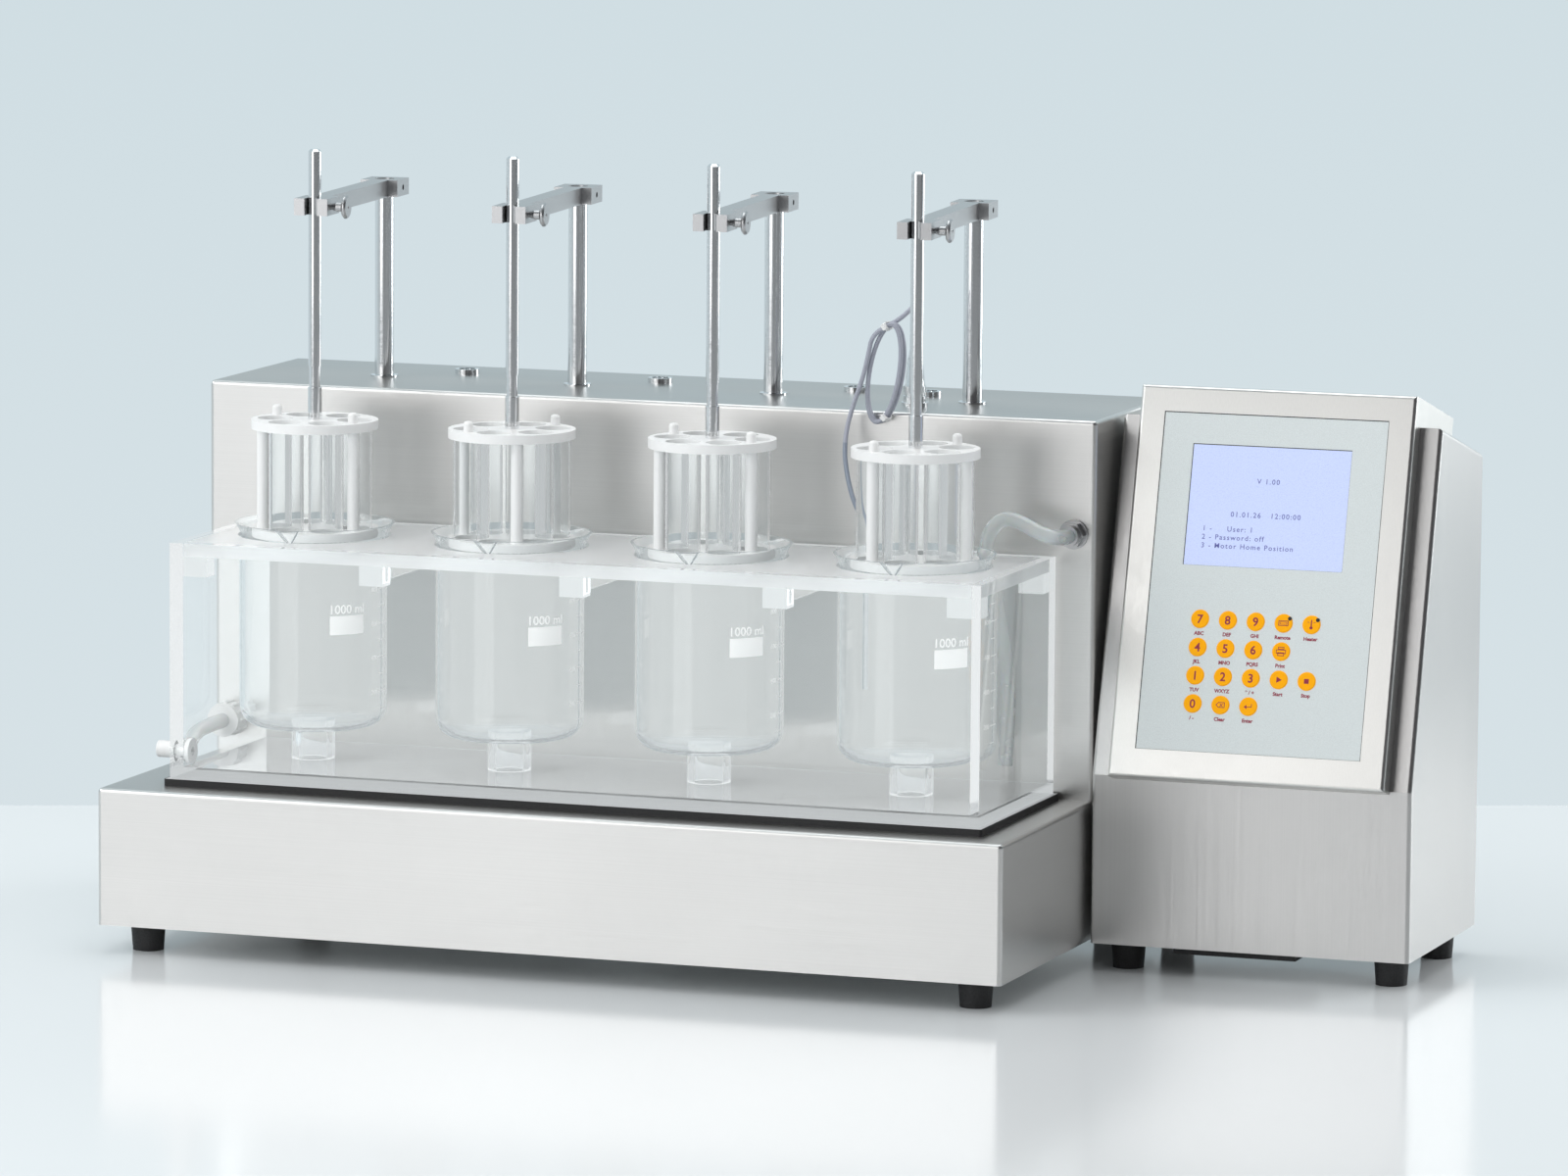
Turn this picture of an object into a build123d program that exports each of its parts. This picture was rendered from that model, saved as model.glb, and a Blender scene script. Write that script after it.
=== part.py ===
from build123d import *
import os
from math import atan2, cos, degrees, hypot, pi, radians, sin, sqrt, tan

# Tablet disintegration tester with four stations. The main unit is a folded
# steel base with a drive housing at its rear and a heated acrylic bath in
# front. The control unit stands beside it. X runs to the right, Y to the back,
# and the origin lies on the table, under the middle of both units.

os.makedirs("parts", exist_ok=True)

# Folded sheet housings of the main unit
base_height = 98.0
housing_depth = 160.0
housing_height = 269.0
sheet = 1.5
fold_radius = 3.0
sheet_gap = 0.3
cover_recess = 4.0
wire_slot_length = 60.0
wire_slot_width = 20.0
vent_slot_length = 60.0
vent_slot_width = 3.0
vent_slot_pitch = 9.0
vent_row_height = 60.0
vent_rows = 6
overrun = 1.0

# Rubber feet
foot_height = 20.0
foot_top_radius = 12.5
foot_bottom_radius = 11.0
foot_inset_x = 27.0
foot_inset_y = 28.0
control_foot_inset = 20.0
foot_screw_radius = 5.0
foot_screw_depth = 8.0

# Control unit
unit_gap = 4.0
control_width = 232.0
control_depth = 175.0
control_front_height = 120.0
slope_length = 255.7
slope_lean_deg = 15.0
module_margin = 16.0
module_stand_off = 15.0
module_drop = 2.0
module_rise = 20.0
module_depth = 100.0
module_edge_radius = 2.5
module_wall = 3.0
module_bezel = 18.6
module_bezel_ends = 20.5
membrane_thickness = 0.8
membrane_relief = 0.3
window_left = 41.4
window_bottom = 151.4
window_width = 115.5
window_height = 85.8
window_corner = 1.5
key_radius = 6.6
key_dome = 0.7
key_taper_deg = 45.0
key_first_x = 57.6
key_pitch_x = 20.2
key_first_y = 54.1
key_pitch_y = 19.87
key_row_counts = (3, 5, 4, 5)
slab_width = 89.0
slab_depth = 60.0
slab_height = 5.0
slab_inset_x = 59.0
slab_inset_y = 8.0

# Mains inlets, one in the rear of each unit
inlet_width = 27.0
inlet_height = 19.6
inlet_depth = 17.0
inlet_flange_rim = 2.0
inlet_flange_thickness = 2.0
inlet_wall = 2.0
inlet_floor = 3.0
inlet_corner = 4.0
inlet_pin_width = 2.0
inlet_pin_height = 4.0
inlet_pin_pitch = 7.0
inlet_pin_drop = 3.0
inlet_pin_length = 11.0
inlet_side_inset = 70.0
inlet_rise = 45.0

# Stations: the lift post stands in the housing, the basket hangs over the bath
station_count = 4
station_pitch = 150.0
post_shift = 13.0
post_recess = 74.0
running_gap = 0.05

# Lift post with its milled rack, bush, pinion and gear motor
post_radius = 7.0
post_length = 285.0
post_chamfer = 0.8
rack_module = 1.5
rack_flat_depth = 1.0
rack_end_margin = 4.0
rack_pressure_deg = 20.0
rack_teeth = 28
mesh_tooth = 2
rack_root_share = 1.25
gear_backlash = 0.4
bush_flange_radius = 10.0
bush_flange_thickness = 1.2
bush_body_radius = 8.5
bush_length = 26.0
pinion_teeth = 20
pinion_width = 9.0
pinion_shaft_radius = 4.0
pinion_shaft_length = 12.0
gearbox_radius = 20.0
gearbox_length = 26.0
motor_radius = 17.0
motor_length = 42.0
motor_seat_gap = 1.5
bracket_thickness = 3.0
bracket_width = 44.0

# Lift arm: a rear block on the post, a slim bar and an open fork for the shaft
arm_thickness = 12.0
arm_bottom_rise = 132.0
arm_top_recess = 0.8
arm_block_half_width = 14.0
arm_block_half_length = 14.0
arm_bar_width = 13.8
arm_head_width = 24.6
arm_head_length = 28.0
arm_head_front = 10.0
arm_set_screw_radius = 2.0

# Thumbscrew through the right prong of the fork
screw_shank_radius = 2.0
screw_tip_gap = 0.4
screw_neck_length = 4.0
screw_hub_radius = 3.4
screw_hub_length = 5.0
screw_disc_radius = 8.3
screw_disc_thickness = 3.5
screw_disc_round = 1.2
screw_tip_radius = 1.2

# Basket shaft, from its domed top down to the sleeve in the basket
shaft_radius = 4.65
shaft_top_rise = 34.5
shaft_dome = 1.6
shaft_neck_radius = 4.0
shaft_neck_length = 15.4
shaft_sleeve_radius = 4.95
shaft_sleeve_length = 22.5
shaft_spigot_radius = 3.0

# Basket: two plates, three spacer posts, six glass tubes and a wire screen
plate_radius = 45.0
top_plate_thickness = 6.5
bottom_plate_thickness = 6.0
basket_height = 82.9
basket_top_level = 373.5
tube_ring_radius = 29.0
tube_count = 6
tube_radius = 12.5
tube_wall = 1.25
tube_length = 77.5
tube_gap = 0.1
spacer_ring_radius = 38.0
spacer_radius = 4.3
spacer_count = 3
pin_ring_radius = 37.5
pin_radius = 3.4
pin_height = 7.5
pin_dome_share = 0.7
spacer_turn_degs = (98.0, 56.5, 96.0, 118.0)
pin_turn_degs = ((338.0, 158.0), (56.5, 236.5), (336.0, 156.0), (238.0, 58.0))
screen_radius = 42.0
screen_thickness = 0.6

# Bath: rubber mat, open tank, supports, cover, stands and beakers
mat_thickness = 5.0
mat_margin = 3.5
mat_corner = 2.0
tank_inset = 43.0
tank_right_inset = 27.0
tank_setback = 30.0
tank_end_reach = 76.0
tank_rear_gap = 6.0
tank_depth = 168.0
tank_height = 168.0
tank_wall = 8.0
tank_floor = 8.0
cover_thickness = 10.0
cover_gap = 0.5
cover_hole_radius = 54.5
hose_hole_radius = 7.5
hose_hole_inset = 42.5
hose_hole_setback = 138.5
support_width = 18.0
support_height = 14.0
support_depth = 14.0
rib_width = 6.0
rib_height = 12.0
stand_radius = 15.5
stand_bore_radius = 10.0
stand_height = 24.0
beaker_radius = 52.5
beaker_height = 145.0
beaker_wall = 2.0
beaker_floor = 2.5
beaker_corner = 14.0
beaker_rim_radius = 57.0
beaker_rim_height = 9.0
rim_bend_share = 0.62
spout_length = 6.5
spout_radius = 9.0
spout_root_radius = 2.5
spout_height = 10.0
spout_turn_deg = 272.0

# Sockets and the probe's plug on the housing's top
socket_recess = 114.0
socket_shift = 36.0
spare_socket_shift = 56.4
spare_socket_recess = 107.0
socket_radius = 9.0
socket_height = 3.5
socket_bore_radius = 6.0
socket_body_radius = 7.0
socket_body_length = 14.0
socket_core_radius = 4.5
plug_shift = 46.0
plug_recess = 44.0
plug_flange_radius = 9.6
plug_flange_height = 2.5
plug_body_radius = 8.2
plug_groove_radius = 7.4
plug_lower_height = 4.5
plug_groove_height = 2.7
plug_upper_height = 4.3
plug_cone_radius = 5.8
plug_cone_height = 18.0
plug_tip_radius = 3.5
plug_tip_height = 9.0

# Probe and its cable
cable_radius = 1.65
bend_run_share = 0.45
hank_loops = 2
hank_shift = 5.1
hank_forward = 46.0
hank_drop = 13.0
hank_half_width = 13.0
hank_half_height = 35.0
hank_pitch = 4.0
hank_lean_deg = 10.0
hank_start_deg = 110.0
hank_run = 9.0
hank_samples = 400
tie_turn_deg = 300.0
tie_width = 3.0
tie_thickness = 1.0
tie_head = 4.0
tie_gap = 0.4
probe_shift = 42.8
probe_recess = 22.2
probe_radius = 2.0
probe_length = 104.0
probe_tip_level = 199.5
ferrule_radius = 2.5
ferrule_length = 8.0

# Hoses and their fittings
hose_radius = 5.3
hose_bore_radius = 3.6
gland_inset = 15.7
gland_level = 306.7
gland_washer_radius = 10.5
gland_washer_thickness = 2.0
gland_nut_across = 16.0
gland_nut_length = 6.0
hexagon_sides = 6
gland_collar_radius = 7.2
gland_collar_length = 6.0
gland_thread_radius = 5.5
gland_thread_length = 10.0
union_inset = 13.0
union_level = 142.0
union_ring_radius = 12.0
union_ring_thickness = 4.0
union_nut_radius = 13.0
union_nut_length = 14.0
union_rib_count = 12
union_rib_radius = 1.4
spigot_setback = 18.0
spigot_level = 141.0
spigot_flange_radius = 9.0
spigot_flange_thickness = 3.0
spigot_bore_radius = 3.0
spigot_pipe_radius = 5.0
spigot_body_radius = 6.0
spigot_barb_radius = 4.6
spigot_elbow_radius = 7.5
spigot_elbow_length = 12.0
spigot_elbow_reach = 10.0

# Places worked out from the sizes above
tank_width = station_pitch * (station_count - 1) + 2 * tank_end_reach
base_width = tank_inset + tank_width + tank_right_inset
base_depth = tank_setback + tank_depth + tank_rear_gap + housing_depth
overall_width = base_width + unit_gap + control_width
main_left = -overall_width / 2
main_right = main_left + base_width
main_center = main_left + base_width / 2
front_face = -base_depth / 2
rear_face = base_depth / 2
base_bottom = foot_height
base_top = base_bottom + base_height
housing_front = rear_face - housing_depth
housing_center = rear_face - housing_depth / 2
housing_top = base_top + housing_height
control_left = main_right + unit_gap
control_right = control_left + control_width
control_center = control_left + control_width / 2
control_front = rear_face - control_depth
stations = range(station_count)
tank_left = main_left + tank_inset
tank_right = tank_left + tank_width
tank_front = front_face + tank_setback
tank_rear = tank_front + tank_depth
tank_center = ((tank_left + tank_right) / 2, (tank_front + tank_rear) / 2)
shaft_y = tank_center[1]
post_y = housing_front + post_recess
shaft_points = [(tank_left + tank_end_reach + station_pitch * i, shaft_y) for i in stations]
post_points = [(x - post_shift, post_y) for x, y in shaft_points]
arm_span = hypot(post_shift, post_y - shaft_y)
arm_bottom = housing_top + arm_bottom_rise
arm_top = arm_bottom + arm_thickness


def save(piece, name):
    """Label a finished piece and write it to its own file."""
    piece.part.label = name
    export_step(piece.part, f"parts/{name}.step")


def circles_cut(points, radius, level, depth):
    """Cut round holes at several places of a level face, down into the piece."""
    with BuildSketch(Plane.XY.offset(level)) as holes:
        with Locations(*points):
            Circle(radius)
    extrude(holes.sketch, amount=-depth, mode=Mode.SUBTRACT)


# Base housing: folded sheet, open at the bottom and the back
with BuildPart() as base_housing:
    with BuildSketch(Plane.XY.offset(base_bottom)):
        with Locations((main_center, 0)):
            Rectangle(base_width, base_depth)
    extrude(amount=base_height)
    base_front_edges = base_housing.edges().group_by(Axis.Y)[0]
    base_top_sides = base_housing.edges().filter_by(Axis.Y).group_by(Axis.Z)[-1]
    fillet(base_front_edges.filter_by(Axis.Z) + base_front_edges.filter_by(Axis.X).sort_by(Axis.Z)[-1:]
           + base_top_sides, radius=fold_radius)
    base_openings = [base_housing.faces().sort_by(Axis.Z)[0], base_housing.faces().sort_by(Axis.Y)[-1]]
    offset(amount=-sheet, openings=base_openings)
    with BuildSketch(Plane.XY.offset(base_top)):
        with Locations((main_center, housing_center)):
            SlotOverall(wire_slot_length, wire_slot_width)
        with Locations((main_center, rear_face - (cover_recess + sheet + sheet_gap) / 2)):
            Rectangle(base_width - 2 * sheet, cover_recess + sheet + sheet_gap)
    extrude(amount=-(sheet + overrun), mode=Mode.SUBTRACT)
save(base_housing, "base_housing")

# Drive housing: the same folds, holed for the bushes, sockets, plug and hoses
last_x = shaft_points[-1][0]
socket_points = [(x + socket_shift, housing_front + socket_recess) for x, y in shaft_points[:-1]]
socket_points.append((last_x - spare_socket_shift, housing_front + spare_socket_recess))
plug_point = (last_x - plug_shift, housing_front + plug_recess)
gland_x = main_right - gland_inset
union_x = main_left + union_inset
with BuildPart() as drive_housing:
    with BuildSketch(Plane.XY.offset(base_top)):
        with Locations((main_center, housing_center)):
            Rectangle(base_width, housing_depth)
    extrude(amount=housing_height)
    housing_front_edges = drive_housing.edges().group_by(Axis.Y)[0]
    housing_top_sides = drive_housing.edges().filter_by(Axis.Y).group_by(Axis.Z)[-1]
    fillet(housing_front_edges.filter_by(Axis.Z)
           + housing_front_edges.filter_by(Axis.X).sort_by(Axis.Z)[-1:]
           + housing_top_sides, radius=fold_radius)
    housing_openings = [drive_housing.faces().sort_by(Axis.Z)[0],
                        drive_housing.faces().sort_by(Axis.Y)[-1]]
    offset(amount=-sheet, openings=housing_openings)
    cut_depth = sheet + overrun
    circles_cut(post_points, bush_body_radius + running_gap, housing_top, cut_depth)
    circles_cut(socket_points, socket_body_radius + running_gap, housing_top, cut_depth)
    circles_cut([plug_point], socket_body_radius + running_gap, housing_top, cut_depth)
    with BuildSketch(Plane.XZ.offset(-housing_front)):
        with Locations((gland_x, gland_level), (union_x, union_level)):
            Circle(gland_thread_radius + running_gap)
    extrude(amount=-cut_depth, mode=Mode.SUBTRACT)
save(drive_housing, "drive_housing")

# Service cover: one L-shaped sheet that closes the bottom and the back
cover_plane_y = rear_face - cover_recess
main_inlet_x = main_right - inlet_side_inset
inlet_z = base_bottom + inlet_rise
floor_width = base_width - 2 * (sheet + sheet_gap)
floor_front = front_face + sheet + sheet_gap
with BuildPart() as service_cover:
    with BuildSketch(Plane.XY.offset(base_bottom)):
        with Locations((main_center, (floor_front + cover_plane_y) / 2)):
            RectangleRounded(floor_width, cover_plane_y - floor_front, fold_radius - sheet)
    extrude(amount=sheet)
    with BuildSketch(Plane.XZ.offset(-cover_plane_y)):
        with Locations((main_center, (base_bottom + housing_top - sheet - sheet_gap) / 2)):
            RectangleRounded(floor_width, housing_top - sheet - sheet_gap - base_bottom,
                             fold_radius - sheet)
        with Locations((main_inlet_x, inlet_z)):
            Rectangle(inlet_width + 2 * running_gap, inlet_height + 2 * running_gap, mode=Mode.SUBTRACT)
        with Locations((main_center, base_top + vent_row_height)):
            with GridLocations(0, vent_slot_pitch, 1, vent_rows):
                SlotOverall(vent_slot_length, vent_slot_width, mode=Mode.SUBTRACT)
    extrude(amount=sheet)
save(service_cover, "service_cover")

# Rubber feet: eight tapered buffers with a cup for the screw
main_foot_x = [main_left + foot_inset_x, main_right - foot_inset_x]
control_foot_x = [control_left + control_foot_inset, control_right - control_foot_inset]
rear_foot_y = rear_face - foot_inset_y
foot_points = [(x, y) for x in main_foot_x for y in (front_face + foot_inset_y, rear_foot_y)]
foot_points += [(x, y) for x in control_foot_x for y in (control_front + foot_inset_y, rear_foot_y)]
with BuildPart() as rubber_feet:
    with BuildSketch(Plane.XY):
        with Locations(*foot_points):
            Circle(foot_bottom_radius)
    extrude(amount=foot_height, taper=-degrees(atan2(foot_top_radius - foot_bottom_radius, foot_height)))
    circles_cut(foot_points, foot_screw_radius, foot_screw_depth, foot_screw_depth + overrun)
save(rubber_feet, "rubber_feet")

# Rubber mat under the bath
tank_bottom = base_top + mat_thickness
tank_top = tank_bottom + tank_height
with BuildPart() as rubber_mat:
    with BuildSketch(Plane.XY.offset(base_top)):
        with Locations(tank_center):
            RectangleRounded(tank_width + 2 * mat_margin, tank_depth + 2 * mat_margin, mat_corner)
    extrude(amount=mat_thickness)
save(rubber_mat, "rubber_mat")

# Bath tank: five acrylic sheets bonded into an open box, with a port at the left
inner_width = tank_width - 2 * tank_wall
inner_depth = tank_depth - 2 * tank_wall
spigot_y = tank_front + spigot_setback
with BuildPart() as bath_tank:
    with BuildSketch(Plane.XY.offset(tank_bottom)):
        with Locations(tank_center):
            Rectangle(tank_width, tank_depth)
    extrude(amount=tank_height)
    with BuildSketch(Plane.XY.offset(tank_bottom + tank_floor)):
        with Locations(tank_center):
            Rectangle(inner_width, inner_depth)
    extrude(amount=tank_height, mode=Mode.SUBTRACT)
    with BuildSketch(Plane.YZ.offset(tank_left)):
        with Locations((spigot_y, spigot_level)):
            Circle(spigot_pipe_radius + running_gap)
    extrude(amount=tank_wall + overrun, mode=Mode.SUBTRACT)
save(bath_tank, "bath_tank")

# Cover supports: blocks bonded to the walls and ribs between the beakers
cover_bottom = tank_top - cover_thickness
between_x = [(a[0] + b[0]) / 2 for a, b in zip(shaft_points, shaft_points[1:])]
inner_left = tank_left + tank_wall
inner_right = tank_right - tank_wall
inner_front = tank_front + tank_wall
inner_rear = tank_rear - tank_wall
end_x = [inner_left + support_width / 2, inner_right - support_width / 2]
front_block_y = inner_front + support_depth / 2
rear_block_y = inner_rear - support_depth / 2
block_points = [(x, front_block_y) for x in between_x + end_x] + [(x, rear_block_y) for x in end_x]
with BuildPart() as cover_supports:
    with BuildSketch(Plane.XY.offset(cover_bottom)):
        with Locations(*block_points):
            Rectangle(support_width, support_depth)
    extrude(amount=-support_height)
    with BuildSketch(Plane.XY.offset(cover_bottom)):
        with Locations(*[(x, tank_center[1]) for x in between_x]):
            Rectangle(rib_width, inner_depth)
    extrude(amount=-rib_height)
save(cover_supports, "cover_supports")

# Bath cover: a loose acrylic sheet with a hole for each beaker and the hose
with BuildPart() as bath_cover:
    with BuildSketch(Plane.XY.offset(cover_bottom)):
        with Locations(tank_center):
            Rectangle(inner_width - 2 * cover_gap, inner_depth - 2 * cover_gap)
    extrude(amount=cover_thickness)
    circles_cut(shaft_points, cover_hole_radius, tank_top, cover_thickness + overrun)
    circles_cut([(tank_right - hose_hole_inset, tank_front + hose_hole_setback)],
                hose_hole_radius, tank_top, cover_thickness + overrun)
save(bath_cover, "bath_cover")

# Beaker stands: short tubes bonded to the tank's floor
stand_bottom = tank_bottom + tank_floor
with BuildPart() as beaker_stands:
    with BuildSketch(Plane.XY.offset(stand_bottom)):
        with Locations(*shaft_points):
            Circle(stand_radius)
            Circle(stand_bore_radius, mode=Mode.SUBTRACT)
    extrude(amount=stand_height)
save(beaker_stands, "beaker_stands")

# Beakers: thin glass with a rounded foot, a flared rim and a pouring spout
beaker_bottom = stand_bottom + stand_height
beaker_top = beaker_bottom + beaker_height
rim_root = beaker_top - beaker_rim_height
bore_radius = beaker_radius - beaker_wall
bore_bottom = beaker_bottom + beaker_floor
rim_mid_radius = (beaker_radius + beaker_rim_radius) / 2
rim_mid_level = rim_root + beaker_rim_height * rim_bend_share
spout_root = (bore_radius, beaker_top - spout_height)
spout_tip_center = beaker_rim_radius + spout_length - spout_radius


def spout_sections(point, inward):
    """The two ends of a cone that leans out of the wall, larger at the rim."""
    turn = Plane(origin=(point[0], point[1], 0), x_dir=Vector(1, 0, 0).rotate(Axis.Z, spout_turn_deg))
    with BuildSketch(turn.offset(spout_root[1])) as root:
        with Locations((spout_root[0], 0)):
            Circle(spout_root_radius - inward)
    with BuildSketch(turn.offset(beaker_top)) as mouth:
        with Locations((spout_tip_center, 0)):
            Circle(spout_radius - inward)
    return [root.sketch, mouth.sketch]


with BuildPart() as beakers:
    for point in shaft_points:
        axis_plane = Plane(origin=(point[0], point[1], 0), x_dir=(1, 0, 0), z_dir=(0, -1, 0))
        with BuildSketch(axis_plane):
            with BuildLine():
                Polyline((0, beaker_bottom), (beaker_radius - beaker_corner, beaker_bottom))
                RadiusArc((beaker_radius - beaker_corner, beaker_bottom),
                          (beaker_radius, beaker_bottom + beaker_corner), -beaker_corner)
                Polyline((beaker_radius, beaker_bottom + beaker_corner), (beaker_radius, rim_root))
                ThreePointArc((beaker_radius, rim_root), (rim_mid_radius, rim_mid_level),
                              (beaker_rim_radius, beaker_top))
                Polyline((beaker_rim_radius, beaker_top), (0, beaker_top), (0, beaker_bottom))
            make_face()
        revolve(axis=Axis((point[0], point[1], 0), (0, 0, 1)))
        loft(spout_sections(point, 0), ruled=True)
    for point in shaft_points:
        axis_plane = Plane(origin=(point[0], point[1], 0), x_dir=(1, 0, 0), z_dir=(0, -1, 0))
        bore_corner = beaker_corner - beaker_wall
        with BuildSketch(axis_plane):
            with BuildLine():
                Polyline((0, bore_bottom), (bore_radius - bore_corner, bore_bottom))
                RadiusArc((bore_radius - bore_corner, bore_bottom),
                          (bore_radius, bore_bottom + bore_corner), -bore_corner)
                Polyline((bore_radius, bore_bottom + bore_corner), (bore_radius, rim_root))
                ThreePointArc((bore_radius, rim_root), (rim_mid_radius - beaker_wall, rim_mid_level),
                              (beaker_rim_radius - beaker_wall, beaker_top))
                Polyline((beaker_rim_radius - beaker_wall, beaker_top), (0, beaker_top), (0, bore_bottom))
            make_face()
        revolve(axis=Axis((point[0], point[1], 0), (0, 0, 1)), mode=Mode.SUBTRACT)
        loft(spout_sections(point, beaker_wall), ruled=True, mode=Mode.SUBTRACT)
save(beakers, "beakers")

# Guide bushes: flanged rings in the housing's top that the posts run through
bush_bottom = housing_top - bush_length
with BuildPart() as guide_bushes:
    with BuildSketch(Plane.XY.offset(bush_bottom)):
        with Locations(*post_points):
            Circle(bush_body_radius)
    extrude(amount=bush_length)
    with BuildSketch(Plane.XY.offset(housing_top)):
        with Locations(*post_points):
            Circle(bush_flange_radius)
    extrude(amount=bush_flange_thickness)
    circles_cut(post_points, post_radius + running_gap, housing_top + bush_flange_thickness,
                bush_length + bush_flange_thickness + overrun)
save(guide_bushes, "guide_bushes")

# Rack and pinion: the rack is milled into a flat on the front of each post
post_top = arm_top - arm_top_recess
post_bottom = post_top - post_length
tooth_pitch = pi * rack_module
tooth_thickness = tooth_pitch / 2
flank_slope = tan(radians(rack_pressure_deg))
pitch_radius = rack_module * pinion_teeth / 2
tip_radius = pitch_radius + rack_module
root_radius = pitch_radius - rack_module * rack_root_share
rack_tip_y = rack_flat_depth - post_radius
rack_pitch_y = rack_tip_y + rack_module
rack_root_y = rack_pitch_y + rack_module * rack_root_share
pinion_offset_y = rack_pitch_y - pitch_radius
rack_start = post_bottom + rack_end_margin
pinion_level = rack_start + tooth_pitch * (mesh_tooth + 1 / 2)
gearbox_start = post_radius + motor_seat_gap
for i in stations:
    post_x, post_y = post_points[i]
    space_half = (tooth_thickness + gear_backlash) / 2
    with BuildPart() as lift_post:
        with BuildSketch(Plane.XY.offset(post_bottom)):
            with Locations((post_x, post_y)):
                Circle(post_radius)
        extrude(amount=post_length)
        chamfer(lift_post.edges().group_by(Axis.Z)[-1] + lift_post.edges().group_by(Axis.Z)[0],
                length=post_chamfer)
        with BuildSketch(Plane.YZ.offset(post_x)):
            with Locations((post_y - post_radius, rack_start + rack_teeth * tooth_pitch / 2)):
                Rectangle(2 * rack_flat_depth, rack_teeth * tooth_pitch)
            with BuildLine():
                tip_half = space_half + rack_module * flank_slope
                root_half = space_half - rack_module * rack_root_share * flank_slope
                tip_y = post_y + rack_tip_y - overrun / 2
                Polyline((tip_y, -tip_half), (post_y + rack_root_y, -root_half),
                         (post_y + rack_root_y, root_half), (tip_y, tip_half), close=True)
            space = make_face(mode=Mode.PRIVATE)
            with Locations(*[(0, rack_start + tooth_pitch * (k + 1 / 2)) for k in range(rack_teeth)]):
                add(space)
        extrude(amount=post_radius + overrun, both=True, mode=Mode.SUBTRACT)
    save(lift_post, f"lift_post_{i + 1}")

    pinion_center = (post_y + pinion_offset_y, pinion_level)
    with BuildPart() as lift_pinion:
        with BuildSketch(Plane.YZ.offset(post_x - pinion_width / 2)):
            with Locations(pinion_center):
                Circle(root_radius)
            with BuildLine():
                pitch_half = (tooth_thickness - gear_backlash) / 2
                tip_half = pitch_half - rack_module * flank_slope
                root_half = pitch_half + rack_module * rack_root_share * flank_slope / 2
                Polyline((root_radius - overrun, -root_half), (root_radius, -root_half),
                         (pitch_radius, -pitch_half), (tip_radius, -tip_half), (tip_radius, tip_half),
                         (pitch_radius, pitch_half), (root_radius, root_half),
                         (root_radius - overrun, root_half), close=True)
            tooth = make_face(mode=Mode.PRIVATE)
            with Locations(pinion_center):
                with PolarLocations(0, pinion_teeth):
                    add(tooth)
        extrude(amount=pinion_width)
        with BuildSketch(Plane.YZ.offset(post_x - pinion_width / 2)):
            with Locations(pinion_center):
                Circle(pinion_shaft_radius)
        extrude(amount=pinion_width / 2 + gearbox_start + pinion_shaft_length)
    save(lift_pinion, f"lift_pinion_{i + 1}")

# Gear motors: a gearbox and a motor can on a bracket behind the housing's front
bracket_front = housing_front + sheet
pinion_y = post_points[0][1] + pinion_offset_y
with BuildPart() as drive_motors:
    for post_x, post_y in post_points:
        with BuildSketch(Plane.YZ.offset(post_x + gearbox_start)):
            with Locations((pinion_y, pinion_level)):
                Circle(gearbox_radius)
        extrude(amount=gearbox_length)
        with BuildSketch(Plane.YZ.offset(post_x + gearbox_start + gearbox_length)):
            with Locations((pinion_y, pinion_level)):
                Circle(motor_radius)
        extrude(amount=motor_length)
        with BuildSketch(Plane.YZ.offset(post_x + gearbox_start)):
            with Locations(((bracket_front + pinion_y) / 2, pinion_level)):
                Rectangle(pinion_y - bracket_front, bracket_width)
        extrude(amount=bracket_thickness)
        with BuildSketch(Plane.XZ.offset(-bracket_front)):
            with Locations((post_x + gearbox_start + gearbox_length / 2, pinion_level)):
                Rectangle(gearbox_length, bracket_width)
        extrude(amount=-bracket_thickness)
    for post_x, post_y in post_points:
        with BuildSketch(Plane.YZ.offset(post_x + gearbox_start)):
            with Locations((pinion_y, pinion_level)):
                Circle(pinion_shaft_radius + running_gap)
        extrude(amount=pinion_shaft_length + overrun, mode=Mode.SUBTRACT)
save(drive_motors, "drive_motors")

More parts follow.
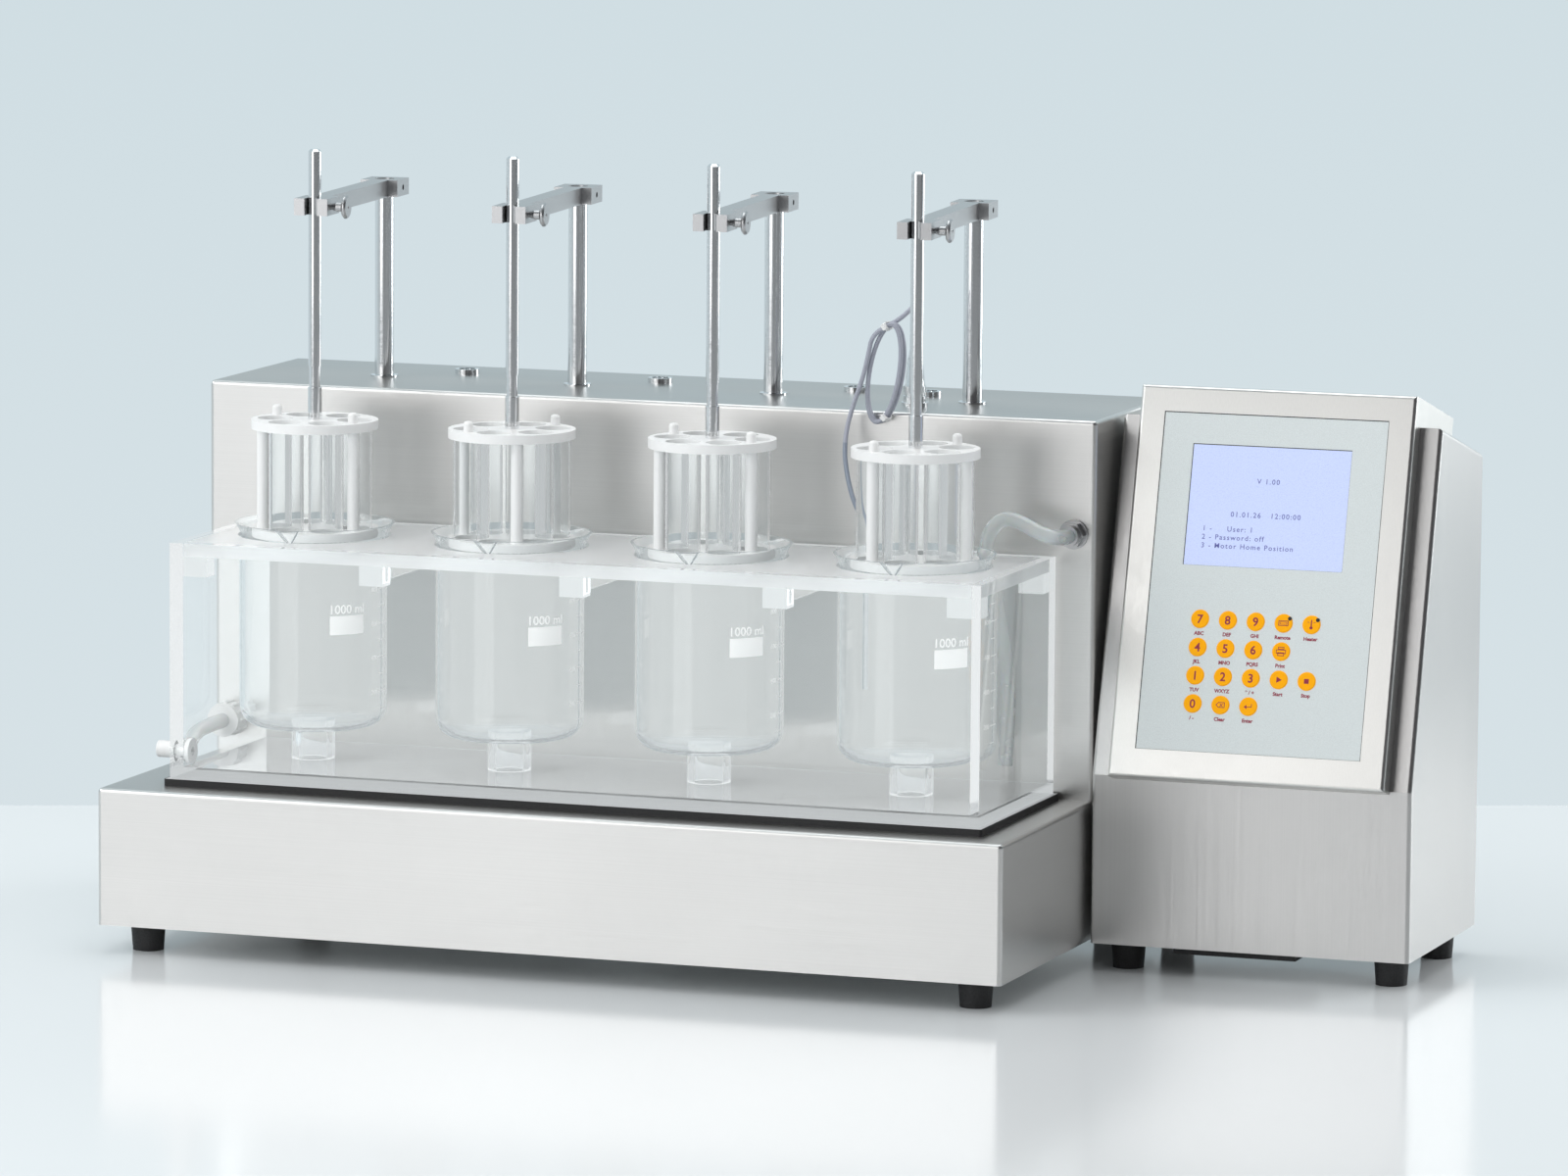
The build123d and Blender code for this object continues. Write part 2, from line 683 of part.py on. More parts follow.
# Arms, thumbscrews, basket shafts and baskets, one set for each station
lean = atan2(post_shift, post_y - shaft_y)
head_rear = arm_span + arm_head_front - arm_head_length
head_side = arm_head_width / 2
slot_half = shaft_radius + running_gap
basket_bottom_level = basket_top_level - basket_height
for i in stations:
    post_x, post_y = post_points[i]
    shaft_x, shaft_y = shaft_points[i]
    along = Vector(sin(lean), -cos(lean), 0)
    arm_plane = Plane(origin=(post_x, post_y, arm_bottom), x_dir=along, z_dir=(0, 0, 1))
    side_plane = Plane(origin=(post_x, post_y, arm_bottom), x_dir=along, z_dir=(cos(lean), sin(lean), 0))
    with BuildPart() as lift_arm:
        with BuildSketch(arm_plane):
            Rectangle(2 * arm_block_half_length, 2 * arm_block_half_width)
            with Locations((arm_span / 2, 0)):
                Rectangle(arm_span, arm_bar_width)
            with Locations((head_rear + arm_head_length / 2, 0)):
                Rectangle(arm_head_length, arm_head_width)
            Circle(post_radius + running_gap, mode=Mode.SUBTRACT)
            with Locations((arm_span, 0)):
                Circle(slot_half, mode=Mode.SUBTRACT)
            with Locations((arm_span + arm_head_front, 0)):
                Rectangle(2 * arm_head_front, 2 * slot_half, mode=Mode.SUBTRACT)
        extrude(amount=arm_thickness)
        with BuildSketch(side_plane):
            with Locations((arm_span, -arm_thickness / 2)):
                Circle(screw_shank_radius + running_gap)
        extrude(amount=head_side + overrun, mode=Mode.SUBTRACT)
        with BuildSketch(side_plane):
            with Locations((0, -arm_thickness / 2)):
                Circle(arm_set_screw_radius)
        extrude(amount=arm_block_half_width + overrun, mode=Mode.SUBTRACT)
    save(lift_arm, f"lift_arm_{i + 1}")

    # Thumbscrew: shank, tapered neck, hub and a round disc on the fork's right side
    screw_center = (shaft_x, shaft_y, arm_bottom + arm_thickness / 2)
    screw_plane = Plane(origin=screw_center, x_dir=(cos(lean), sin(lean), 0), z_dir=along)
    neck_start = head_side + running_gap
    tip_start = slot_half + screw_tip_gap
    hub_start = neck_start + screw_neck_length
    disc_start = hub_start + screw_hub_length
    disc_end = disc_start + screw_disc_thickness
    with BuildPart() as arm_thumbscrew:
        with BuildSketch(screw_plane):
            with BuildLine():
                Polyline((tip_start, 0), (tip_start, screw_shank_radius), (neck_start, screw_shank_radius),
                         (hub_start, screw_hub_radius), (disc_start, screw_hub_radius),
                         (disc_start, screw_disc_radius - screw_disc_round),
                         (disc_start + screw_disc_round, screw_disc_radius),
                         (disc_end - screw_disc_round, screw_disc_radius),
                         (disc_end, screw_disc_radius - screw_disc_round), (disc_end, screw_tip_radius),
                         (disc_end + screw_tip_radius / 2, screw_tip_radius / 2),
                         (disc_end + screw_tip_radius / 2, 0), close=True)
            make_face()
        revolve(axis=Axis(screw_center, (cos(lean), sin(lean), 0)))
    save(arm_thumbscrew, f"arm_thumbscrew_{i + 1}")

    # Basket shaft with its neck and sleeve, and the wire screen under the basket
    shaft_top = arm_top + shaft_top_rise
    sleeve_top = basket_top_level + shaft_sleeve_length
    neck_top = sleeve_top + shaft_neck_length
    with BuildPart() as basket_shaft:
        with BuildSketch(Plane(origin=(shaft_x, shaft_y, 0), x_dir=(1, 0, 0), z_dir=(0, -1, 0))):
            with BuildLine():
                Polyline((0, basket_top_level - top_plate_thickness),
                         (shaft_spigot_radius, basket_top_level - top_plate_thickness),
                         (shaft_spigot_radius, basket_top_level), (shaft_sleeve_radius, basket_top_level),
                         (shaft_sleeve_radius, sleeve_top), (shaft_neck_radius, sleeve_top),
                         (shaft_neck_radius, neck_top), (shaft_radius, neck_top),
                         (shaft_radius, shaft_top - shaft_dome), (shaft_radius - shaft_dome, shaft_top),
                         (0, shaft_top), close=True)
            make_face()
        revolve(axis=Axis((shaft_x, shaft_y, 0), (0, 0, 1)))
        with BuildSketch(Plane.XY.offset(basket_bottom_level)):
            with Locations((shaft_x, shaft_y)):
                Circle(screen_radius)
        extrude(amount=-screen_thickness)
    save(basket_shaft, f"basket_shaft_{i + 1}")

    # Basket frame: two drilled plates, three spacer posts and two domed pins
    tube_turn = spacer_turn_degs[i] + 180 / tube_count
    pin_spots = [Vector(pin_ring_radius, 0, 0).rotate(Axis.Z, turn) for turn in pin_turn_degs[i]]
    with BuildPart() as basket_frame:
        with BuildSketch(Plane.XY.offset(basket_top_level)):
            with Locations((shaft_x, shaft_y)):
                Circle(plate_radius)
                Circle(shaft_spigot_radius + running_gap, mode=Mode.SUBTRACT)
                with PolarLocations(tube_ring_radius, tube_count, start_angle=tube_turn):
                    Circle(tube_radius + tube_gap, mode=Mode.SUBTRACT)
        extrude(amount=-top_plate_thickness)
        with BuildSketch(Plane.XY.offset(basket_bottom_level)):
            with Locations((shaft_x, shaft_y)):
                Circle(plate_radius)
                with PolarLocations(tube_ring_radius, tube_count, start_angle=tube_turn):
                    Circle(tube_radius + tube_gap, mode=Mode.SUBTRACT)
        extrude(amount=bottom_plate_thickness)
        with BuildSketch(Plane.XY.offset(basket_bottom_level + bottom_plate_thickness)):
            with Locations((shaft_x, shaft_y)):
                with PolarLocations(spacer_ring_radius, spacer_count, start_angle=spacer_turn_degs[i]):
                    Circle(spacer_radius)
        extrude(amount=basket_height - top_plate_thickness - bottom_plate_thickness)
        with BuildSketch(Plane.XY.offset(basket_top_level)):
            with Locations(*[(shaft_x + spot.X, shaft_y + spot.Y) for spot in pin_spots]):
                Circle(pin_radius)
        extrude(amount=pin_height)
        fillet(basket_frame.edges().group_by(Axis.Z)[-1], radius=pin_radius * pin_dome_share)
    save(basket_frame, f"basket_frame_{i + 1}")

    # Six open glass tubes between the plates
    with BuildPart() as basket_tubes:
        with BuildSketch(Plane.XY.offset(basket_bottom_level)):
            with Locations((shaft_x, shaft_y)):
                with PolarLocations(tube_ring_radius, tube_count, start_angle=tube_turn):
                    Circle(tube_radius)
                    Circle(tube_radius - tube_wall, mode=Mode.SUBTRACT)
        extrude(amount=tube_length)
    save(basket_tubes, f"basket_tubes_{i + 1}")


def ring_profile(plane, steps, bore_radius):
    """Turn a stack of cylinders and cones on a plane's normal, with a bore through it."""
    level = 0
    for length, start_radius, end_radius in steps:
        with BuildSketch(plane.offset(level)) as start:
            Circle(start_radius)
        with BuildSketch(plane.offset(level + length)) as end:
            Circle(end_radius)
        loft([start.sketch, end.sketch], ruled=True)
        level += length
    if bore_radius:
        with BuildSketch(plane.offset(-overrun)) as bore:
            Circle(bore_radius)
        extrude(bore.sketch, amount=level + 2 * overrun, mode=Mode.SUBTRACT)


# Sockets in the housing's top, each a chromed ring round a recessed core
with BuildPart() as sensor_sockets:
    for point in socket_points:
        socket_plane = Plane(origin=(point[0], point[1], housing_top - socket_body_length))
        ring_profile(socket_plane, [(socket_body_length, socket_body_radius, socket_body_radius),
                                    (socket_height, socket_radius, socket_radius)], 0)
    circles_cut(socket_points, socket_bore_radius, housing_top + socket_height, socket_height)
    with BuildSketch(Plane.XY.offset(housing_top)):
        with Locations(*socket_points):
            Circle(socket_core_radius)
    extrude(amount=socket_height / 2)
save(sensor_sockets, "sensor_sockets")

# Probe's plug: flange, knurled rings and a tapered bend relief
plug_plane = Plane(origin=(plug_point[0], plug_point[1], housing_top - socket_body_length))
with BuildPart() as probe_plug:
    ring_profile(plug_plane, [(socket_body_length, socket_body_radius, socket_body_radius),
                              (plug_flange_height, plug_flange_radius, plug_flange_radius),
                              (plug_lower_height, plug_body_radius, plug_body_radius),
                              (plug_groove_height, plug_groove_radius, plug_groove_radius),
                              (plug_upper_height, plug_body_radius, plug_body_radius),
                              (plug_cone_height, plug_groove_radius, plug_cone_radius),
                              (plug_tip_height, plug_cone_radius, plug_tip_radius)], 0)
save(probe_plug, "probe_plug")
plug_top = (housing_top + plug_flange_height + plug_lower_height + plug_groove_height + plug_upper_height
            + plug_cone_height + plug_tip_height)

# Temperature probe: a steel rod with a ferrule, hung in the fourth beaker
probe_point = (last_x - probe_shift, shaft_y + probe_recess)
probe_top = probe_tip_level + probe_length
with BuildPart() as temperature_probe:
    ring_profile(Plane(origin=(probe_point[0], probe_point[1], probe_tip_level)),
                 [(probe_length - ferrule_length, probe_radius, probe_radius),
                  (ferrule_length, ferrule_radius, ferrule_radius)], 0)
save(temperature_probe, "temperature_probe")

# Hose gland: white washer, hexagon nut and collar on the housing's front
gland_plane = Plane(origin=(gland_x, housing_front, gland_level), x_dir=(1, 0, 0), z_dir=(0, -1, 0))
gland_stack = gland_washer_thickness + gland_nut_length + gland_collar_length
with BuildPart() as hose_gland:
    ring_profile(gland_plane.offset(-gland_thread_length),
                 [(gland_thread_length, gland_thread_radius, gland_thread_radius),
                  (gland_washer_thickness, gland_washer_radius, gland_washer_radius),
                  (gland_nut_length, gland_thread_radius, gland_thread_radius),
                  (gland_collar_length, gland_collar_radius, gland_collar_radius)], 0)
    with BuildSketch(gland_plane.offset(gland_washer_thickness)):
        RegularPolygon(gland_nut_across / 2, hexagon_sides, major_radius=False)
    extrude(amount=gland_nut_length)
save(hose_gland, "hose_gland")

# Inlet union: a ribbed nut behind a white ring, low on the left of the housing
union_plane = Plane(origin=(union_x, housing_front, union_level), x_dir=(1, 0, 0), z_dir=(0, -1, 0))
union_stack = union_nut_length + union_ring_thickness
union_core_radius = union_nut_radius - union_rib_radius
with BuildPart() as inlet_union:
    ring_profile(union_plane.offset(-gland_thread_length),
                 [(gland_thread_length, gland_thread_radius, gland_thread_radius),
                  (union_nut_length, union_core_radius, union_core_radius),
                  (union_ring_thickness, union_ring_radius, union_ring_radius)], 0)
    with BuildSketch(union_plane):
        with PolarLocations(union_core_radius, union_rib_count):
            Circle(union_rib_radius)
    extrude(amount=union_nut_length)
save(inlet_union, "inlet_union")

# Drain spigot: a flanged port inside the tank and an elbow with a barb outside
spigot_plane = Plane(origin=(inner_left + spigot_flange_thickness, spigot_y, spigot_level),
                     x_dir=(0, 1, 0), z_dir=(-1, 0, 0))
elbow_x = tank_left - spigot_elbow_reach
barb_plane = Plane(origin=(elbow_x, spigot_y, spigot_level), x_dir=(1, 0, 0), z_dir=(0, 1, 0))
with BuildPart() as drain_spigot:
    ring_profile(spigot_plane, [(spigot_flange_thickness, spigot_flange_radius, spigot_flange_radius),
                                (tank_wall, spigot_pipe_radius, spigot_pipe_radius),
                                (spigot_elbow_reach - spigot_body_radius, spigot_elbow_radius,
                                 spigot_elbow_radius),
                                (2 * spigot_body_radius, spigot_body_radius, spigot_body_radius)], 0)
    ring_profile(barb_plane, [(spigot_elbow_length, spigot_barb_radius, spigot_barb_radius)], 0)
    with BuildSketch(spigot_plane):
        Circle(spigot_bore_radius)
    extrude(amount=spigot_flange_thickness + tank_wall, mode=Mode.SUBTRACT)
save(drain_spigot, "drain_spigot")

# Control housing: folded sheet with a leaning front, open below and behind
lean_back = radians(slope_lean_deg)
slope_up = Vector(0, sin(lean_back), cos(lean_back))
slope_out = Vector(0, -cos(lean_back), sin(lean_back))
bend_point = Vector(control_left, control_front, base_bottom + control_front_height)
slope_top = bend_point + slope_up * slope_length
roof_drop = (rear_face - slope_top.Y) * tan(lean_back)
with BuildPart() as control_housing:
    with BuildSketch(Plane.YZ.offset(control_left)):
        with BuildLine():
            Polyline((control_front, base_bottom), (control_front, bend_point.Z), (slope_top.Y, slope_top.Z),
                     (rear_face, slope_top.Z - roof_drop), (rear_face, base_bottom), close=True)
        make_face()
    extrude(amount=control_width)
    control_side_edges = control_housing.edges().filter_by(GeomType.LINE).group_by(Axis.X)
    control_folds = [edge for group in (control_side_edges[0], control_side_edges[-1]) for edge in group
                     if edge.center().Y < rear_face - fold_radius
                     and edge.center().Z > base_bottom + fold_radius]
    fillet(control_folds, radius=fold_radius)
    offset(amount=-sheet, openings=[control_housing.faces().sort_by(Axis.Z)[0],
                                    control_housing.faces().sort_by(Axis.Y)[-1]])
    module_origin = (bend_point + Vector(module_margin, 0, 0) - slope_up * module_drop
                     + slope_out * module_stand_off)
    module_plane = Plane(origin=module_origin, x_dir=(1, 0, 0), z_dir=slope_out)
    module_width = control_width - 2 * module_margin
    module_height = module_drop + slope_length + module_rise
    with BuildSketch(module_plane):
        with Locations((module_width / 2, module_height / 2)):
            Rectangle(module_width + 2 * running_gap, module_height + 2 * running_gap)
    extrude(amount=-(module_depth + running_gap), mode=Mode.SUBTRACT)
save(control_housing, "control_housing")

# Control cover: the bottom and the back of the control unit in one L-shaped sheet
control_inlet_x = control_right - inlet_side_inset
control_floor_width = control_width - 2 * (sheet + sheet_gap)
control_floor_front = control_front + sheet + sheet_gap
control_back_top = slope_top.Z - roof_drop - sheet - sheet_gap
with BuildPart() as control_cover:
    with BuildSketch(Plane.XY.offset(base_bottom)):
        with Locations((control_center, (control_floor_front + cover_plane_y) / 2)):
            RectangleRounded(control_floor_width, cover_plane_y - control_floor_front, fold_radius - sheet)
    extrude(amount=sheet)
    with BuildSketch(Plane.XZ.offset(-cover_plane_y)):
        with Locations((control_center, (base_bottom + control_back_top) / 2)):
            RectangleRounded(control_floor_width, control_back_top - base_bottom, fold_radius - sheet)
        with Locations((control_inlet_x, inlet_z)):
            Rectangle(inlet_width + 2 * running_gap, inlet_height + 2 * running_gap, mode=Mode.SUBTRACT)
        with Locations((control_center, base_top + vent_row_height)):
            with GridLocations(0, vent_slot_pitch, 1, vent_rows):
                SlotOverall(vent_slot_length, vent_slot_width, mode=Mode.SUBTRACT)
    extrude(amount=sheet)
save(control_cover, "control_cover")

# Display module: a steel box through the leaning front, pocketed for its panel
membrane_width = module_width - 2 * module_bezel
membrane_height = module_height - module_bezel_ends - module_bezel
membrane_center = (module_width / 2, module_bezel_ends + membrane_height / 2)
window_center = (window_left + window_width / 2, window_bottom + window_height / 2)
pocket_floor = membrane_relief - membrane_thickness
with BuildPart() as display_module:
    with BuildSketch(module_plane):
        with Locations((module_width / 2, module_height / 2)):
            Rectangle(module_width, module_height)
    extrude(amount=-module_depth)
    front_edges = display_module.faces().sort_by(Axis.Y)[0].edges()
    fillet(front_edges, radius=module_edge_radius)
    with BuildSketch(module_plane):
        with Locations(membrane_center):
            Rectangle(membrane_width + 2 * running_gap, membrane_height + 2 * running_gap)
    extrude(amount=pocket_floor, mode=Mode.SUBTRACT)
    with BuildSketch(module_plane.offset(-module_depth)):
        with Locations((module_width / 2, module_height / 2)):
            Rectangle(module_width - 2 * module_wall, module_height - 2 * module_wall)
    extrude(amount=module_depth - module_wall, mode=Mode.SUBTRACT)
save(display_module, "display_module")

# Membrane panel with an opening for the window
with BuildPart() as membrane_panel:
    with BuildSketch(module_plane.offset(pocket_floor)):
        with Locations(membrane_center):
            Rectangle(membrane_width, membrane_height)
        with Locations(window_center):
            RectangleRounded(window_width, window_height, window_corner, mode=Mode.SUBTRACT)
    extrude(amount=membrane_thickness)
save(membrane_panel, "membrane_panel")

with BuildPart() as display_window:
    with BuildSketch(module_plane.offset(pocket_floor)):
        with Locations(window_center):
            RectangleRounded(window_width - 2 * running_gap, window_height - 2 * running_gap,
                             window_corner - running_gap)
    extrude(amount=membrane_thickness)
save(display_window, "display_window")

# Keys: shallow embossed domes of the film switches
key_spots = [(key_first_x + key_pitch_x * column, key_first_y + key_pitch_y * row)
             for row, count in enumerate(key_row_counts) for column in range(count)]
with BuildPart() as keys:
    with BuildSketch(module_plane.offset(membrane_relief)):
        with Locations(*key_spots):
            Circle(key_radius)
    extrude(amount=key_dome, taper=key_taper_deg)
save(keys, "keys")

# Handling slab under the control unit
with BuildPart() as handling_slab:
    with BuildSketch(Plane.XY.offset(base_bottom)):
        with Locations((control_left + slab_inset_x + slab_width / 2,
                        control_front + slab_inset_y + slab_depth / 2)):
            Rectangle(slab_width, slab_depth)
    extrude(amount=-slab_height)
save(handling_slab, "handling_slab")

# Mains inlets: flanged sockets with three flat pins, recessed within each back
inlet_points = [(main_inlet_x, inlet_z), (control_inlet_x, inlet_z)]
inlet_pins = [(x + shift, z + drop) for x, z in inlet_points
              for shift, drop in ((-inlet_pin_pitch, -inlet_pin_drop / 2), (0, inlet_pin_drop),
                                  (inlet_pin_pitch, -inlet_pin_drop / 2))]
inlet_plane = Plane.XZ.offset(-cover_plane_y)
with BuildPart() as mains_inlets:
    with BuildSketch(inlet_plane):
        with Locations(*inlet_points):
            Rectangle(inlet_width + 2 * inlet_flange_rim, inlet_height + 2 * inlet_flange_rim)
    extrude(amount=-inlet_flange_thickness)
    with BuildSketch(inlet_plane):
        with Locations(*inlet_points):
            Rectangle(inlet_width, inlet_height)
    extrude(amount=inlet_depth)
    with BuildSketch(inlet_plane.offset(-inlet_flange_thickness)) as cavity:
        with Locations(*inlet_points):
            Rectangle(inlet_width - 2 * inlet_wall, inlet_height - 2 * inlet_wall)
        chamfer(cavity.vertices().group_by(Axis.Y)[-1], length=inlet_corner)
    extrude(amount=inlet_flange_thickness + inlet_depth - inlet_floor, mode=Mode.SUBTRACT)
    with BuildSketch(inlet_plane.offset(inlet_depth - inlet_floor)):
        with Locations(*inlet_pins):
            Rectangle(inlet_pin_width, inlet_pin_height)
    extrude(amount=-inlet_pin_length)
save(mains_inlets, "mains_inlets")


def tube(points, outer_radius, bore=0):
    """A cord or hose along a route of straight runs joined by arcs."""
    places = [Vector(point) for point in points]
    runs = [after - before for before, after in zip(places, places[1:])]
    radii = []
    for before, after in zip(runs, runs[1:]):
        half_turn = radians(before.get_angle(after) / 2)
        radii.append(bend_run_share * min(before.length, after.length) / tan(half_turn))
    print("bend radii", [round(radius, 1) for radius in radii])
    with BuildLine() as route:
        FilletPolyline(*places, radius=radii)
    sweep_section(route.line, places[0], runs[0], outer_radius, bore)


def sweep_section(line, start, direction, outer_radius, bore=0):
    """Sweep a round section, with or without a bore, along a line of runs and arcs."""
    with BuildSketch(Plane(origin=start, z_dir=direction)) as section:
        Circle(outer_radius)
        if bore:
            Circle(bore, mode=Mode.SUBTRACT)
    wire = Wire(line.edges())
    sweep(section.sketch, path=wire)
    print("section by length", round(section.sketch.area * wire.length))
    return wire


def from_anchor(anchor, offsets):
    """A cord's route as places measured from where it starts."""
    return [Vector(*anchor) + Vector(*offset) for offset in offsets]


# Bath hose: from the gland over the cover and down into the bath
gland_end_y = housing_front - gland_stack
hose_route = from_anchor((gland_x, gland_end_y, gland_level), [
    (0.0, 0.0, 0.0), (0.0, -10.5, 0.0), (-4.8, -19.0, 1.3), (-15.3, -22.0, 4.8),
    (-28.3, -20.0, 11.3), (-41.3, -17.5, 13.3), (-50.8, -19.0, 4.8), (-53.8, -21.5, -9.7),
    (-52.8, -21.5, -36.7), (-47.3, -21.0, -63.7), (-42.8, -20.5, -93.7), (-41.8, -20.0, -128.7),
    (-43.8, -20.0, -160.7),
])
with BuildPart() as bath_hose:
    tube(hose_route, hose_radius, hose_bore_radius)
save(bath_hose, "bath_hose")

# Suction hose: from the union forward along the bath's left side to the barb
suction_route = from_anchor((union_x, housing_front - union_stack, union_level), [
    (0.0, 0.0, 0.0), (0.0, -24.0, 0.0), (2.5, -49.0, 0.0), (11.0, -80.0, 0.0),
    (20.0, -107.0, -1.0), (20.0, -126.0, -1.0),
])
with BuildPart() as suction_hose:
    tube(suction_route, hose_radius, hose_bore_radius)
save(suction_hose, "suction_hose")

# Cable hank: two leaning oval loops in one length, side by side in depth
hank_center = Vector(plug_point[0] - hank_shift, plug_point[1] - hank_forward, plug_top - hank_drop)
hank_side = Vector(cos(radians(hank_lean_deg)), 0, -sin(radians(hank_lean_deg)))
hank_up = Vector(sin(radians(hank_lean_deg)), 0, cos(radians(hank_lean_deg)))
hank_start_turn = radians(hank_start_deg)


def hank_point(turn):
    """A place on the loops, at an angle counted from the right, upwards and on."""
    depth = hank_pitch * (turn - hank_start_turn) / (2 * pi)
    return (hank_center + hank_side * (hank_half_width * cos(turn)) + hank_up * (hank_half_height * sin(turn))
            - Vector(0, depth, 0))


def hank_direction(turn):
    """The way that the cable runs there."""
    ahead = hank_up * (hank_half_height * cos(turn)) - hank_side * (hank_half_width * sin(turn))
    return (ahead - Vector(0, hank_pitch / (2 * pi), 0)).normalized()


def quarter_biarc(turn):
    """Two arcs that join a place on the loops with the place a quarter turn on."""
    start, end = hank_point(turn), hank_point(turn + pi / 2)
    start_way, end_way = hank_direction(turn), hank_direction(turn + pi / 2)
    chord, ways = end - start, start_way + end_way
    spread = 2 * (1 - start_way.dot(end_way))
    reach = (sqrt(chord.dot(ways) ** 2 + spread * chord.dot(chord)) - chord.dot(ways)) / spread
    middle = (start + end + (start_way - end_way) * reach) / 2
    first = TangentArc(start, middle, tangent=start_way)
    TangentArc(middle, end, tangent=first % 1)


hank_quarters = 4 * hank_loops
hank_end_turn = hank_start_turn + hank_loops * 2 * pi
hank_lead = 2 * cable_radius
hank_start = hank_point(hank_start_turn) - hank_direction(hank_start_turn) * hank_lead
hank_end = hank_point(hank_end_turn) + hank_direction(hank_end_turn) * hank_lead
with BuildPart() as cable_hank:
    with BuildLine() as hank_line:
        Line(hank_start, hank_point(hank_start_turn))
        for k in range(hank_quarters):
            quarter_biarc(hank_start_turn + k * pi / 2)
        Line(hank_point(hank_end_turn), hank_end)
    wire = sweep_section(hank_line.line, hank_start, hank_direction(hank_start_turn), cable_radius)
save(cable_hank, "cable_hank")
samples = [wire.position_at(k / hank_samples) for k in range(hank_samples + 1)]
apart = hank_samples // hank_quarters
self_gap = min((samples[k] - samples[j]).length for k in range(len(samples))
               for j in range(k + apart, len(samples))) - 2 * cable_radius
print("hank from", hank_start, "to", hank_end, "least gap to itself", round(self_gap, 2))

# Cable rise: from the plug up and forward to the hank
rise_points = from_anchor((plug_point[0], plug_point[1], plug_top), [
    (0.0, 0.0, 0.0), (0.0, 0.0, 11.0), (2.3, -5.5, 23.0), (6.2, -16.0, 32.0), (9.4, -27.5, 35.0),
    (10.4, -38.5, 32.6),
])
rise_route = rise_points + [hank_start - hank_direction(hank_start_turn) * hank_run, hank_start]
with BuildPart() as cable_rise:
    tube(rise_route, cable_radius)
save(cable_rise, "cable_rise")

# Cable drop: from the hank down past the cover's edge and over to the probe
drop_points = from_anchor((plug_point[0], plug_point[1], plug_top), [
    (-16.5, -54.0, 0.0), (-20.5, -54.0, -17.0), (-26.0, -57.0, -34.0), (-29.3, -63.0, -52.0),
    (-28.0, -71.0, -67.5), (-23.2, -80.0, -80.5), (-16.0, -90.5, -94.5), (-7.5, -100.5, -105.5),
    (0.3, -108.3, -110.0), (3.2, -111.8, -117.5),
])
drop_route = [hank_end, hank_end + hank_direction(hank_end_turn) * hank_run, *drop_points,
              (probe_point[0], probe_point[1], probe_top)]
with BuildPart() as cable_drop:
    tube(drop_route, cable_radius)
save(cable_drop, "cable_drop")

# Cable ties: a band with a small head round each bundle of strands
with BuildPart() as cable_ties:
    for turn_deg, strands in ((hank_start_deg, hank_loops + 1), (tie_turn_deg, hank_loops)):
        turn = radians(turn_deg)
        middle = hank_point(turn) - Vector(0, hank_pitch * (strands - 1) / 2, 0)
        band_length = hank_pitch * (strands - 1) + 2 * (cable_radius + tie_gap)
        band_width = 2 * (cable_radius + tie_gap)
        tie_plane = Plane(origin=middle - hank_direction(turn) * (tie_width / 2), x_dir=(0, 1, 0),
                          z_dir=hank_direction(turn))
        with BuildSketch(tie_plane):
            SlotOverall(band_length + 2 * tie_thickness, band_width + 2 * tie_thickness)
            with Locations((-(band_length + tie_thickness + tie_head) / 2, 0)):
                Rectangle(tie_head, tie_head)
            SlotOverall(band_length, band_width, mode=Mode.SUBTRACT)
        extrude(amount=tie_width)
save(cable_ties, "cable_ties")
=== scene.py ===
from math import cos, pi, radians, sin

import bpy
from mathutils import Matrix, Vector


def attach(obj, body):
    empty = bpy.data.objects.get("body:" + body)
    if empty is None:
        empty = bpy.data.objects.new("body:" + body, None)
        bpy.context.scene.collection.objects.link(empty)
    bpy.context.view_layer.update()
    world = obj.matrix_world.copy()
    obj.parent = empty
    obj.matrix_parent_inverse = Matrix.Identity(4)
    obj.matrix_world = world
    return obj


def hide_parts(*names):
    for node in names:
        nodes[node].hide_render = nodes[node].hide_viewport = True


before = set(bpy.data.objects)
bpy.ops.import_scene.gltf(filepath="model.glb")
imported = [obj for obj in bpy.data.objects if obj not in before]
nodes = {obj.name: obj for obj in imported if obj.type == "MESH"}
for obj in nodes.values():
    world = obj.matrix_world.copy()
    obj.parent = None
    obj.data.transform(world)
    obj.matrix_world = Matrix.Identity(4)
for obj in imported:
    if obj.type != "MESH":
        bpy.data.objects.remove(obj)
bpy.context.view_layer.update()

stations = range(1, 5)
bpy.ops.object.select_all(action="DESELECT")

# Camera
# A long lens at the right front, a little above the bench, as in the photograph.
camera_place = Vector((2.0913, -5.9508, 1.1030))
camera_turn = radians(19.406)
camera_down_deg = 7.603
camera_roll = radians(0.407)
camera_lens = 206.87
sensor_width = 36
camera_reach = 60
bpy.ops.object.camera_add(location=camera_place)
camera = bpy.context.object
camera.rotation_euler = (
    Matrix.Rotation(camera_turn, 3, "Z")
    @ Matrix.Rotation(radians(90 - camera_down_deg), 3, "X")
    @ Matrix.Rotation(camera_roll, 3, "Z")
).to_euler()
camera.data.lens = camera_lens
camera.data.sensor_width = sensor_width
camera.data.clip_end = camera_reach
bpy.context.scene.camera = camera
bpy.context.scene.view_settings.view_transform = "Standard"


# Materials
# Nodes that every finish is put together from.
def new_material(name, color, roughness, metallic=0.0):
    """A material with its Principled shader, its node tree and the shader's plain values."""
    material = bpy.data.materials.new(name)
    material.use_nodes = True
    shader = material.node_tree.nodes["Principled BSDF"]
    shader.inputs["Base Color"].default_value = (*color, 1)
    shader.inputs["Roughness"].default_value = roughness
    shader.inputs["Metallic"].default_value = metallic
    return material, shader, material.node_tree


